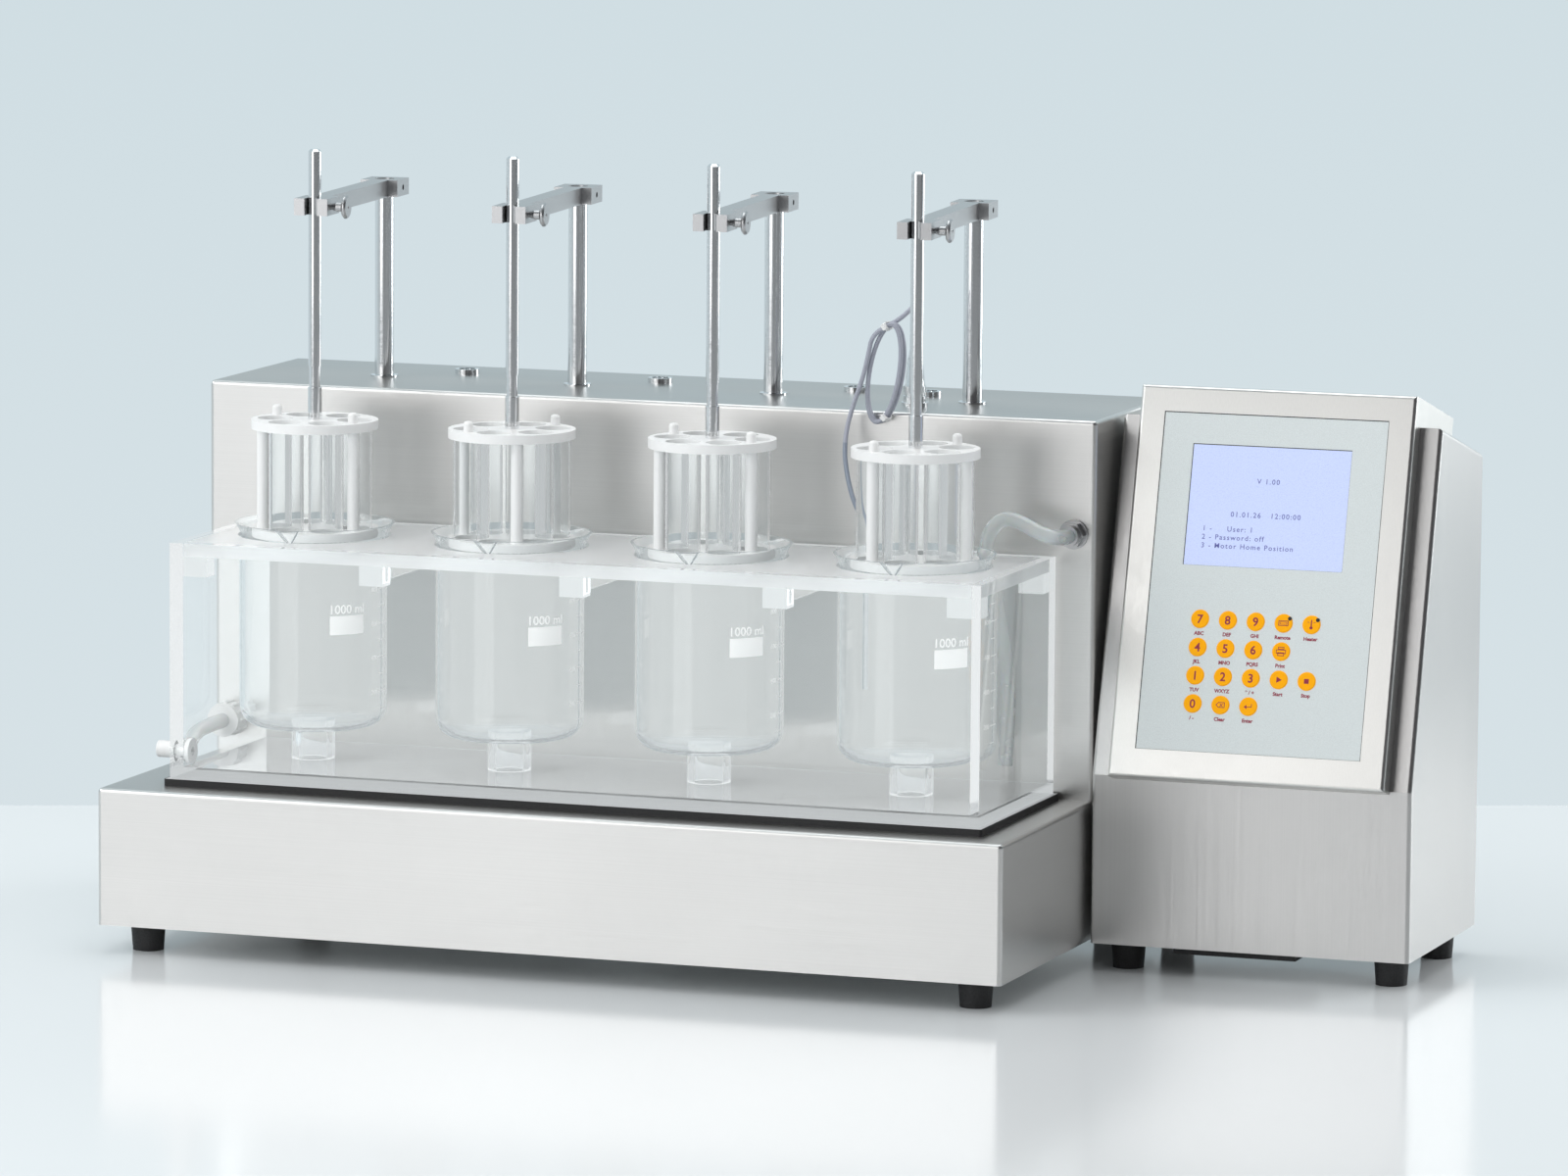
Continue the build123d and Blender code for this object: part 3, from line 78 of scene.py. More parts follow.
def place_node(tree, kind, **values):
    """A node of a kind, with its plain properties set."""
    node = tree.nodes.new(kind)
    for name, value in values.items():
        setattr(node, name, value)
    return node


def math_node(tree, operation, first, second=None):
    """A math node with links or numbers on its inputs, and its result."""
    node = place_node(tree, "ShaderNodeMath", operation=operation)
    for socket, value in zip(node.inputs, (first, second)):
        if isinstance(value, (int, float)):
            socket.default_value = value
        elif value is not None:
            tree.links.new(value, socket)
    return node.outputs[0]


def ranged(tree, value, low, high, to_low, to_high):
    """A value mapped from one range to another, held at its ends."""
    node = place_node(tree, "ShaderNodeMapRange")
    for socket, number in zip(("From Min", "From Max", "To Min", "To Max"), (low, high, to_low, to_high)):
        node.inputs[socket].default_value = number
    tree.links.new(value, node.inputs["Value"])
    return node.outputs["Result"]


def mixed(tree, factor, first, second):
    """A colour between two, each given as numbers or as a link."""
    node = place_node(tree, "ShaderNodeMix", data_type="RGBA")
    tree.links.new(factor, node.inputs["Factor"])
    for socket, color in ((node.inputs[6], first), (node.inputs[7], second)):
        if isinstance(color, tuple):
            socket.default_value = (*color, 1)
        else:
            tree.links.new(color, socket)
    return node.outputs[2]


def mixed_shader(tree, factor, first, second):
    """A shader between two."""
    node = place_node(tree, "ShaderNodeMixShader")
    for socket, link in zip(("Fac", 1, 2), (factor, first, second)):
        tree.links.new(link, node.inputs[socket])
    return node.outputs["Shader"]


def split_place(tree, output="Object"):
    """The parts of a point's place on the object, or of the way that its face looks."""
    place = place_node(tree, "ShaderNodeTexCoord")
    split = place_node(tree, "ShaderNodeSeparateXYZ")
    tree.links.new(place.outputs[output], split.inputs["Vector"])
    return split.outputs


def noise_on(tree, scale, detail=2.0):
    """Noise that is fixed to the object."""
    place = place_node(tree, "ShaderNodeTexCoord")
    noise = place_node(tree, "ShaderNodeTexNoise")
    noise.inputs["Scale"].default_value = scale
    noise.inputs["Detail"].default_value = detail
    tree.links.new(place.outputs["Object"], noise.inputs["Vector"])
    return noise.outputs["Fac"]


def lines_on(tree, stretch):
    """Noise drawn out into fine lines by a factor for each axis."""
    place = place_node(tree, "ShaderNodeTexCoord")
    stretched = place_node(tree, "ShaderNodeVectorMath", operation="MULTIPLY")
    stretched.inputs[1].default_value = stretch
    tree.links.new(place.outputs["Object"], stretched.inputs[0])
    lines = place_node(tree, "ShaderNodeTexNoise")
    lines.inputs["Scale"].default_value = 1.0
    tree.links.new(stretched.outputs["Vector"], lines.inputs["Vector"])
    return lines.outputs["Fac"]


def tinted(tree, color, tone):
    """A colour multiplied by a tone that changes over the surface."""
    node = place_node(tree, "ShaderNodeVectorMath", operation="MULTIPLY")
    node.inputs[0].default_value = color
    tree.links.new(tone, node.inputs[1])
    return node.outputs["Vector"]


def bumped(tree, shader, height, distance, strength=1.0):
    """Relief on a shader's normal."""
    node = place_node(tree, "ShaderNodeBump")
    node.inputs["Distance"].default_value = distance
    node.inputs["Strength"].default_value = strength
    tree.links.new(height, node.inputs["Height"])
    tree.links.new(node.outputs["Normal"], shader.inputs["Normal"])


# Floor and backdrop
# A white glossy table top whose far edge meets a pale blue background.
table_reach = 0.97
table_size = 12
table_turn = radians(22.0)
table_middle = camera_place + Vector((-sin(camera_turn), cos(camera_turn), 0)) * table_reach
table_middle.z = 0
bpy.ops.mesh.primitive_plane_add(size=table_size, location=table_middle, rotation=(0, 0, table_turn))
floor = bpy.context.object
floor.name = "studio_floor"
floor_white, floor_shader, floor_tree = new_material("studio white", (0.80, 0.84, 0.86), 0.12)
floor_shader.inputs["Specular IOR Level"].default_value = 0.35
floor_ripple = place_node(floor_tree, "ShaderNodeTexNoise")
floor_ripple.inputs["Scale"].default_value = 3.0
floor_tree.links.new(ranged(floor_tree, floor_ripple.outputs["Fac"], 0, 1, 0.10, 0.16),
                     floor_shader.inputs["Roughness"])
floor.data.materials.append(floor_white)

world = bpy.data.worlds.new("studio")
bpy.context.scene.world = world
world.use_nodes = True
sky = world.node_tree
sky.nodes.clear()
sky_place = place_node(sky, "ShaderNodeTexCoord")
sky_path = place_node(sky, "ShaderNodeLightPath")
sky_height = place_node(sky, "ShaderNodeSeparateXYZ")
sky.links.new(sky_place.outputs["Generated"], sky_height.inputs["Vector"])
sky_rise = ranged(sky, sky_height.outputs["Z"], -0.28, 0.02, 0, 1)
backdrop = mixed(sky, sky_rise, (0.74, 0.80, 0.83), (0.59, 0.70, 0.745))
# The room behind the camera, to the right, is dark; only metal and glass show it.
room_side = place_node(sky, "ShaderNodeVectorMath", operation="DOT_PRODUCT")
room_side.inputs[1].default_value = (0.60, -0.80, 0)
sky.links.new(sky_place.outputs["Generated"], room_side.inputs[0])
room_fade = ranged(sky, room_side.outputs["Value"], -0.05, 0.55, 0, 1)
room_direct = math_node(sky, "LESS_THAN", sky_path.outputs["Transmission Depth"], 0.5)
mirrored = mixed(sky, math_node(sky, "MULTIPLY", room_direct, room_fade), backdrop, (0.05, 0.05, 0.055))
sky_shaders = []
for strength, color in ((1.0, backdrop), (1.0, mirrored), (0.62, None)):
    shine = place_node(sky, "ShaderNodeBackground")
    shine.inputs["Strength"].default_value = strength
    shine.inputs["Color"].default_value = (1, 1, 1, 1)
    if color:
        sky.links.new(color, shine.inputs["Color"])
    sky_shaders.append(shine.outputs["Background"])
sky_mirror = math_node(sky, "MAXIMUM", sky_path.outputs["Is Glossy Ray"],
                       sky_path.outputs["Is Transmission Ray"])
sky_inner = mixed_shader(sky, sky_mirror, sky_shaders[2], sky_shaders[1])
sky_whole = mixed_shader(sky, sky_path.outputs["Is Camera Ray"], sky_inner, sky_shaders[0])
sky_out = place_node(sky, "ShaderNodeOutputWorld")
sky.links.new(sky_whole, sky_out.inputs["Surface"])

# Studio lamps
# A soft box low in front on the left, one high on the left, a strip behind on the right and one overhead.
for name, place, aim, size, power in (
    ("front soft box", (-1.25, -3.0, 0.95), (-0.2, 0, 0.2), (1.9, 1.7), 21),
    ("left soft box", (-2.3, -1.6, 2.2), (-0.1, 0, 0.2), (2.2, 1.6), 34),
    ("rear strip", (2.0, 2.0, 0.9), (0.4, 0, 0.25), (1.0, 1.6), 24),
    ("top soft box", (0.1, 0.3, 2.6), (0.1, 0.3, 0), (2.4, 1.6), 22),
):
    bpy.ops.object.light_add(type="AREA", location=place)
    lamp = bpy.context.object
    lamp.name = name
    lamp.rotation_euler = (Vector(aim) - Vector(place)).to_track_quat("-Z", "Y").to_euler()
    lamp.data.shape = "RECTANGLE"
    lamp.data.size, lamp.data.size_y = size
    lamp.data.energy = power


# Probe cable
# Grey PVC signal cable from the plug to the probe, tied in two loose loops.
def round_cord(name, points, radius, body="tester"):
    """A bevelled NURBS spline through a cord's route, with closed ends."""
    curve = bpy.data.curves.new(name, "CURVE")
    curve.dimensions = "3D"
    curve.bevel_depth = 1.0
    curve.bevel_resolution = 6
    curve.use_fill_caps = True
    curve.resolution_u = 8
    spline = curve.splines.new("NURBS")
    spline.points.add(len(points) - 1)
    for point, place in zip(spline.points, points):
        point.co = (*place, 1)
        point.radius = radius
    spline.order_u = 3
    spline.use_endpoint_u = True
    cord = bpy.data.objects.new(name, curve)
    bpy.context.collection.objects.link(cord)
    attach(cord, body)
    return cord


cable_radius = 0.00165
hank_center = Vector((0.0639, 0.020, 0.415))
hank_lean = radians(10)
hank_side = Vector((cos(hank_lean), 0, -sin(hank_lean)))
hank_up = Vector((sin(hank_lean), 0, cos(hank_lean)))
rise_route = [
    (0.0690, 0.0660, 0.4280), (0.0690, 0.0660, 0.4390), (0.0713, 0.0605, 0.4510),
    (0.0752, 0.0500, 0.4600), (0.0784, 0.0385, 0.4630), (0.0794, 0.0275, 0.4606),
    (0.0753, 0.0205, 0.4551), (0.0680, 0.0201, 0.4500),
]
hank_half_width = 0.0135
hank_half_height = 0.0362
hank_start = radians(110)
hank_turns = 2
turn_narrowing = 0.10
turn_drift = 0.004
loop_points = 14
loop_route = []
for step in range(hank_turns * loop_points + 1):
    turn = hank_start + step * 2 * pi / loop_points
    spread = 1.0 - turn_narrowing * step / loop_points
    forward = Vector((0, turn_drift * step / loop_points, 0))
    loop_route.append(hank_center + hank_side * (hank_half_width * spread * cos(turn))
                      + hank_up * (hank_half_height * sin(turn)) - forward)
drop_route = [
    (0.0551, 0.0116, 0.4412), (0.0525, 0.0120, 0.4280), (0.0485, 0.0120, 0.4110),
    (0.0430, 0.0090, 0.3940), (0.0397, 0.0030, 0.3760), (0.0410, -0.0050, 0.3605),
    (0.0458, -0.0140, 0.3475), (0.0530, -0.0245, 0.3335), (0.0615, -0.0345, 0.3225),
    (0.0693, -0.0423, 0.3180), (0.0722, -0.0458, 0.3105), (0.0722, -0.0458, 0.3035),
]
cable_grey, cable_shader, cable_tree = new_material("cable grey", (0.36, 0.39, 0.45), 0.42)
cable_route = rise_route + [tuple(point) for point in loop_route] + drop_route
cable = round_cord("probe_cable", cable_route, cable_radius)
cable.data.materials.append(cable_grey)
sleeve_end = (0.3665, 0.3670)
cable_sleeve = ranged(cable_tree, split_place(cable_tree)["Z"], *sleeve_end, 0, 1)
cable_wear = ranged(cable_tree, noise_on(cable_tree, 180), 0, 1, 0.34, 0.52)
cable_tree.links.new(cable_wear, cable_shader.inputs["Roughness"])
cable_color = mixed(cable_tree, cable_sleeve, (0.25, 0.29, 0.36), (0.38, 0.40, 0.47))
cable_tree.links.new(cable_color, cable_shader.inputs["Base Color"])
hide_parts("cable_rise", "cable_hank", "cable_drop")

# Hoses
# Milky silicone tube, one from the gland into the bath and one along its left side.
bath_route = [
    (0.2023, 0.0080, 0.3067), (0.2023, -0.0025, 0.3067), (0.1975, -0.0110, 0.3080),
    (0.1870, -0.0140, 0.3115), (0.1740, -0.0120, 0.3180), (0.1610, -0.0095, 0.3200),
    (0.1515, -0.0110, 0.3115), (0.1485, -0.0135, 0.2970), (0.1495, -0.0135, 0.2700),
    (0.1550, -0.0130, 0.2430), (0.1595, -0.0125, 0.2130), (0.1605, -0.0120, 0.1780),
    (0.1585, -0.0120, 0.1460),
]
suction_route = [
    (-0.4410, 0.0040, 0.1420), (-0.4410, -0.0200, 0.1420), (-0.4385, -0.0450, 0.1420),
    (-0.4300, -0.0760, 0.1420), (-0.4210, -0.1030, 0.1410), (-0.4210, -0.1220, 0.1410),
]
hose_milk, hose_shader, hose_tree = new_material("milky hose", (0.86, 0.88, 0.88), 0.22)
hose_shader.inputs["Transmission Weight"].default_value = 0.55
hose_shader.inputs["Subsurface Weight"].default_value = 0.2
hose_wear = ranged(hose_tree, noise_on(hose_tree, 45), 0, 1, 0.16, 0.34)
hose_tree.links.new(hose_wear, hose_shader.inputs["Roughness"])
hose_radius = 0.0053
for name, route, length, end in (("bath_hose_tube", bath_route, 0.237, "bare"),
                                 ("suction_hose_tube", suction_route, 0.128, "object")):
    hose = round_cord(name, route, hose_radius)
    hose.data.materials.append(hose_milk)
    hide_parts(name[:-5])


# Base housing, feet and mat
# Long box of folded stainless sheet with a level brush, on rubber feet screwed to its floor.
# The tank stands on a black rubber mat with a pale face.
def new_group(name, inputs, outputs):
    """A shader node group with its named sockets and its two end nodes."""
    tree = bpy.data.node_groups.new(name, "ShaderNodeTree")
    for socket, kind, value in inputs:
        made = tree.interface.new_socket(socket, in_out="INPUT", socket_type=kind)
        made.default_value = value
    for socket, kind in outputs:
        tree.interface.new_socket(socket, in_out="OUTPUT", socket_type=kind)
    return tree, place_node(tree, "NodeGroupInput"), place_node(tree, "NodeGroupOutput")


brush, brush_in, brush_out = new_group(
    "sheet brush and painted top shade",
    [("Front Stretch", "NodeSocketVector", (4, 700, 700)),
     ("Side Stretch", "NodeSocketVector", (700, 4, 700))],
    [("Grain And Top Shade", "NodeSocketFloat"), ("Roughness", "NodeSocketFloat"), ("Height", "NodeSocketFloat")],
)
brush_place = place_node(brush, "ShaderNodeTexCoord")
brush_facing = place_node(brush, "ShaderNodeSeparateXYZ")
brush.links.new(brush_place.outputs["Normal"], brush_facing.inputs["Vector"])
brush_side = math_node(brush, "GREATER_THAN", math_node(brush, "ABSOLUTE", brush_facing.outputs["X"]), 0.6)
brush_choice = place_node(brush, "ShaderNodeMix", data_type="VECTOR")
brush.links.new(brush_side, brush_choice.inputs["Factor"])
brush.links.new(brush_in.outputs["Front Stretch"], brush_choice.inputs[4])
brush.links.new(brush_in.outputs["Side Stretch"], brush_choice.inputs[5])
brush_vector = place_node(brush, "ShaderNodeVectorMath", operation="MULTIPLY")
brush.links.new(brush_place.outputs["Object"], brush_vector.inputs[0])
brush.links.new(brush_choice.outputs[1], brush_vector.inputs[1])
brush_lines = place_node(brush, "ShaderNodeTexNoise")
brush_lines.inputs["Scale"].default_value = 1.0
brush_lines.inputs["Detail"].default_value = 3.0
brush.links.new(brush_vector.outputs["Vector"], brush_lines.inputs["Vector"])
brush_cloud = place_node(brush, "ShaderNodeTexNoise")
brush_cloud.inputs["Scale"].default_value = 9.0
brush.links.new(brush_place.outputs["Object"], brush_cloud.inputs["Vector"])
steel_tone = math_node(brush, "ADD", ranged(brush, brush_lines.outputs["Fac"], 0.3, 0.7, 0.975, 1.015),
                       ranged(brush, brush_cloud.outputs["Fac"], 0.3, 0.7, -0.015, 0.015))
# Faces that look straight up are made 0.26 darker: painted shade for the dim reflection on tops, not part
# of the grain.
painted_top_shade = math_node(brush, "GREATER_THAN", brush_facing.outputs["Z"], 0.97)
steel_tone = math_node(brush, "SUBTRACT", steel_tone, math_node(brush, "MULTIPLY", painted_top_shade, 0.26))
brush.links.new(steel_tone, brush_out.inputs["Grain And Top Shade"])
brush_rough = ranged(brush, brush_lines.outputs["Fac"], 0.3, 0.7, 0.29, 0.37)
brush.links.new(brush_rough, brush_out.inputs["Roughness"])
brush.links.new(brush_lines.outputs["Fac"], brush_out.inputs["Height"])


def brushed_steel(name, color, front_stretch, side_stretch):
    """Stainless sheet whose brush runs along the short factor of each stretch; its level faces get painted
    shade.
    """
    material, shader, tree = new_material(name, color, 0.33, 1.0)
    brush_and_shade = place_node(tree, "ShaderNodeGroup")
    brush_and_shade.node_tree = brush
    brush_and_shade.inputs["Front Stretch"].default_value = front_stretch
    brush_and_shade.inputs["Side Stretch"].default_value = side_stretch
    shader.inputs["Anisotropic"].default_value = 0.5
    tree.links.new(tinted(tree, color, brush_and_shade.outputs["Grain And Top Shade"]), shader.inputs["Base Color"])
    tree.links.new(brush_and_shade.outputs["Roughness"], shader.inputs["Roughness"])
    bumped(tree, shader, brush_and_shade.outputs["Height"], 0.00002, 0.4)
    return material


def dress(material, *names):
    """Gives CAD nodes a finish in all their material slots."""
    for name in names:
        for slot in nodes[name].material_slots:
            slot.material = material


housing_steel = brushed_steel("steel brushed level", (0.70, 0.69, 0.675), (5, 1100, 1100), (1100, 5, 1100))
dress(housing_steel, "base_housing", "drive_housing", "service_cover")

rubber, rubber_shader, rubber_tree = new_material("black rubber", (0.018, 0.018, 0.019), 0.6)
rubber_grit = noise_on(rubber_tree, 900)
rubber_tree.links.new(ranged(rubber_tree, rubber_grit, 0.3, 0.7, 0.5, 0.75),
                      rubber_shader.inputs["Roughness"])
bumped(rubber_tree, rubber_shader, rubber_grit, 0.0002)
dress(rubber, "rubber_feet")

mat_rubber = rubber.copy()
mat_rubber.name = "faced rubber mat"
mat_tree = mat_rubber.node_tree
mat_middle = (-0.110, -0.068, 0)
mat_reach = (0.3036, 0.0866)
mat_face_level = 0.1228
mat_place = place_node(mat_tree, "ShaderNodeTexCoord")
mat_shift = place_node(mat_tree, "ShaderNodeVectorMath", operation="SUBTRACT")
mat_shift.inputs[1].default_value = mat_middle
mat_tree.links.new(mat_place.outputs["Object"], mat_shift.inputs[0])
mat_split = place_node(mat_tree, "ShaderNodeSeparateXYZ")
mat_tree.links.new(mat_shift.outputs["Vector"], mat_split.inputs["Vector"])
mat_within = []
for axis, reach in zip("XY", mat_reach):
    mat_distance = math_node(mat_tree, "ABSOLUTE", mat_split.outputs[axis])
    mat_within.append(math_node(mat_tree, "LESS_THAN", mat_distance, reach))
mat_inside = math_node(mat_tree, "MULTIPLY", *mat_within)
mat_face = math_node(mat_tree, "MULTIPLY", mat_inside,
                     math_node(mat_tree, "GREATER_THAN", mat_split.outputs["Z"], mat_face_level))
mat_color = mixed(mat_tree, mat_face, (0.018, 0.018, 0.019), (0.58, 0.59, 0.60))
mat_tree.links.new(mat_color, mat_tree.nodes["Principled BSDF"].inputs["Base Color"])
dress(mat_rubber, "rubber_mat")

# Bath tank and its cover
# Tank glued from clear acrylic plates with polished edges.
# Its cover is a pale translucent plate that rests on clear rails.
light_depth = 7.5
mirror_depth = 1.5
tank_floor_top = 0.1305


def let_light_through(tree, shader, painted_edge_tone):
    """Clear stuff casts hardly any shadow; where a ray has gone far or turned often it shows a flat painted
    tone instead, pale as painted light on the acrylic and dark as painted shade on the glass.
    """
    path = place_node(tree, "ShaderNodeLightPath")
    passing = place_node(tree, "ShaderNodeBsdfTransparent")
    passing.inputs["Color"].default_value = (0.985, 0.99, 0.99, 1)
    unseen = math_node(tree, "MAXIMUM", path.outputs["Is Shadow Ray"], path.outputs["Is Diffuse Ray"])
    either = mixed_shader(tree, unseen, shader.outputs["BSDF"], passing.outputs["BSDF"])
    painted_edge_fill = place_node(tree, "ShaderNodeEmission")
    painted_edge_fill.inputs["Color"].default_value = painted_edge_tone
    long_way = math_node(tree, "GREATER_THAN", path.outputs["Ray Depth"], light_depth)
    much_turned = math_node(tree, "GREATER_THAN", path.outputs["Glossy Depth"], mirror_depth)
    painted_fill_where = math_node(tree, "MAXIMUM", long_way, much_turned)
    clear_and_painted_fill = mixed_shader(tree, painted_fill_where, either, painted_edge_fill.outputs["Emission"])
    tree.links.new(clear_and_painted_fill, tree.nodes["Material Output"].inputs["Surface"])


def worn_clear(name, color, ior, low, high, scale, painted_edge_tone):
    """Clear glass or plastic with faint wipe marks, and a flat painted tone where rays go far in it."""
    material, shader, tree = new_material(name, color, low)
    shader.inputs["Transmission Weight"].default_value = 1.0
    shader.inputs["IOR"].default_value = ior
    wipes = noise_on(tree, scale, 4.0)
    tree.links.new(ranged(tree, wipes, 0.45, 0.75, low, high), shader.inputs["Roughness"])
    let_light_through(tree, shader, painted_edge_tone)
    return material, shader, tree


# The acrylic's pale tone for long ray paths is painted light.
acrylic, _, acrylic_tree = worn_clear("clear acrylic", (0.985, 0.992, 0.992), 1.49, 0.0, 0.02, 14,
                                      (0.80, 0.83, 0.84, 1))
# The upright faces of the bottom plate glow flatly: a painted highlight along its front edge.
bottom_low = math_node(acrylic_tree, "LESS_THAN", split_place(acrylic_tree)["Z"], tank_floor_top)
bottom_tilt = math_node(acrylic_tree, "ABSOLUTE", split_place(acrylic_tree, "Normal")["Z"])
bottom_upright = math_node(acrylic_tree, "LESS_THAN", bottom_tilt, 0.5)
painted_glow_band = math_node(acrylic_tree, "MULTIPLY", bottom_low, bottom_upright)
painted_edge_glow = place_node(acrylic_tree, "ShaderNodeEmission")
painted_edge_glow.inputs["Color"].default_value = (0.60, 0.63, 0.64, 1)
acrylic_end = acrylic_tree.nodes["Material Output"].inputs["Surface"]
acrylic_with_painted_glow = mixed_shader(acrylic_tree, math_node(acrylic_tree, "MULTIPLY", painted_glow_band, 0.7),
                          acrylic_end.links[0].from_socket, painted_edge_glow.outputs["Emission"])
acrylic_tree.links.new(acrylic_with_painted_glow, acrylic_end)
dress(acrylic, "bath_tank", "cover_supports", "beaker_stands")
cover_milk, cover_shader, _ = worn_clear("milky acrylic", (0.90, 0.915, 0.92), 1.49, 0.28, 0.4, 10,
                                         (0.70, 0.72, 0.72, 1))
cover_shader.inputs["Transmission Weight"].default_value = 0.55
dress(cover_milk, "bath_cover")

# Beakers
# Low-form laboratory beakers of clear glass with a fused rim, a spout and white fired marks.
# The beakers' dark tone for long ray paths is painted shade along the glass outlines.
beaker_glass = worn_clear("beaker glass", (0.98, 0.99, 0.99), 1.47, 0.0, 0.01, 20, (0.38, 0.43, 0.45, 1))[0]
dress(beaker_glass, "beakers")

# Baskets
# White moulded plates and spacers that hold six open glass tubes over a woven steel screen.
plastic, plastic_shader, plastic_tree = new_material("white moulded plastic", (0.86, 0.87, 0.87), 0.38)
plastic_shader.inputs["Subsurface Weight"].default_value = 0.12
plastic_shader.inputs["Subsurface Radius"].default_value = (0.004, 0.004, 0.004)
plastic_skin = noise_on(plastic_tree, 260)
plastic_tree.links.new(ranged(plastic_tree, plastic_skin, 0.3, 0.7, 0.33, 0.45),
                       plastic_shader.inputs["Roughness"])
bumped(plastic_tree, plastic_shader, plastic_skin, 0.00004)
tube_glass = worn_clear("tube glass", (0.98, 0.985, 0.985), 1.47, 0.0, 0.01, 26, (0.55, 0.57, 0.58, 1))[0]
dress(plastic, "cable_ties", "drain_spigot", "inlet_union")
for i in stations:
    dress(plastic, f"basket_frame_{i}")
    dress(tube_glass, f"basket_tubes_{i}")

# Posts, arms and shafts
# Ground and polished rod, hard chrome plated; the arms are milled bar, clamped by a knurled screw.
chrome, chrome_shader, chrome_tree = new_material("polished chrome", (0.78, 0.79, 0.80), 0.1, 1.0)
chrome_lines = lines_on(chrome_tree, (60, 60, 2200))
chrome_tree.links.new(ranged(chrome_tree, chrome_lines, 0.3, 0.7, 0.06, 0.17),
                      chrome_shader.inputs["Roughness"])
bumped(chrome_tree, chrome_shader, chrome_lines, 0.000004)
dress(chrome, "guide_bushes", "temperature_probe", "sensor_sockets", "probe_plug")

satin_grey = (0.47, 0.47, 0.475)
satin, satin_shader, satin_tree = new_material("satin milled metal", satin_grey, 0.3, 1.0)
satin_lines = lines_on(satin_tree, (900, 90, 900))
satin_tree.links.new(ranged(satin_tree, satin_lines, 0.3, 0.7, 0.29, 0.34),
                     satin_shader.inputs["Roughness"])
satin_tone = ranged(satin_tree, satin_lines, 0.3, 0.7, 0.98, 1.02)
satin_tree.links.new(tinted(satin_tree, satin_grey, satin_tone), satin_shader.inputs["Base Color"])
dress(satin, "hose_gland", "drive_motors")

# The screens under the baskets are the only low part of the shafts' nodes; a woven pattern shows there.
woven = chrome.copy()
woven.name = "chrome and woven wire"
woven_tree = woven.node_tree
wire_pitch = 0.0025
screens_top = 0.2907
woven_place = split_place(woven_tree)
wires = [math_node(woven_tree, "ABSOLUTE", math_node(woven_tree, "SINE", math_node(
    woven_tree, "MULTIPLY", woven_place[axis], pi / wire_pitch))) for axis in ("X", "Y")]
mesh_hole = math_node(woven_tree, "GREATER_THAN", math_node(woven_tree, "MINIMUM", *wires), 0.45)
mesh_level = math_node(woven_tree, "LESS_THAN", woven_place["Z"], screens_top)
woven_color = mixed(woven_tree, math_node(woven_tree, "MULTIPLY", mesh_hole, mesh_level),
                    (0.78, 0.79, 0.80), (0.10, 0.10, 0.11))
woven_tree.links.new(woven_color, woven_tree.nodes["Principled BSDF"].inputs["Base Color"])
for i in stations:
    dress(chrome, f"lift_post_{i}")
    dress(woven, f"basket_shaft_{i}")
    dress(satin, f"lift_pinion_{i}", f"arm_thumbscrew_{i}", f"lift_arm_{i}")

# Control unit
# Folded stainless box with a sloped front, brushed upright, that carries the display module.
# The same stainless is set darker on the control housing as painted shade, and lighter on the bezel as
# painted light.
shaded_control_steel = brushed_steel("steel brushed upright painted darker", (0.61, 0.60, 0.59), (1100, 1100, 5), (1100, 1100, 5))
dress(shaded_control_steel, "control_housing", "control_cover")
lit_bezel_steel = brushed_steel("bezel steel painted lighter", (0.74, 0.73, 0.705), (1100, 1100, 5), (1100, 1100, 5))
dress(lit_bezel_steel, "display_module")
dress(rubber, "handling_slab", "mains_inlets")

# Membrane panel
# Pale printed polyester foil glued into the tray, with maroon words printed under each key.
slope = radians(15)
panel_right = Vector((1, 0, 0))
panel_up = Vector((0, sin(slope), cos(slope)))
panel_out = Vector((0, -cos(slope), sin(slope)))
slope_foot = Vector((0.222, 0.007, 0.140))
tray_right, tray_down, tray_out = 0.016, 0.002, 0.015
panel_corner = slope_foot + panel_right * tray_right - panel_up * tray_down + panel_out * tray_out


def front_of(name):
    """How far a node reaches out of the sloped front."""
    return max((vertex.co - panel_corner).dot(panel_out) for vertex in nodes[name].data.vertices)


def on_panel(across, up, out):
    """The place and turn of a print on the sloped front, from its lower left corner."""
    turn = Matrix((panel_right, panel_up, panel_out)).transposed().to_4x4()
    return Matrix.Translation(panel_corner + panel_right * across + panel_up * up + panel_out * out) @ turn


def printed(words, height, place, align="CENTER", depth=0.00003, spacing=1.0, bold=0.02):
    """Raised ink in the shape of some words, as a mesh at its place."""
    bpy.ops.object.text_add()
    piece = bpy.context.object
    piece.data.body = words
    piece.data.size = height * 1.42
    piece.data.align_x = align
    piece.data.space_character = spacing
    piece.data.extrude = depth
    piece.data.offset = height * bold
    piece.data.resolution_u = 3
    bpy.ops.object.convert(target="MESH")
    piece = bpy.context.object
    piece.data.transform(Matrix.Translation((0, -height / 2, 0)))
    piece.data.transform(place)
    return piece


def cut_shape(outline, place, depth=0.00003):
    """Raised ink in the shape of an outline given in millimetres, as a mesh at its place."""
    curve = bpy.data.curves.new("outline", "CURVE")
    curve.dimensions = "2D"
    curve.fill_mode = "BOTH"
    curve.extrude = depth
    spline = curve.splines.new("POLY")
    spline.points.add(len(outline) - 1)
    for point, (x, y) in zip(spline.points, outline):
        point.co = (x / 1000, y / 1000, 0, 1)
    spline.use_cyclic_u = True
    piece = bpy.data.objects.new("outline", curve)
    bpy.context.collection.objects.link(piece)
    bpy.ops.object.select_all(action="DESELECT")
    piece.select_set(True)
    bpy.context.view_layer.objects.active = piece
    bpy.ops.object.convert(target="MESH")
    piece = bpy.context.object
    piece.data.transform(place)
    return piece


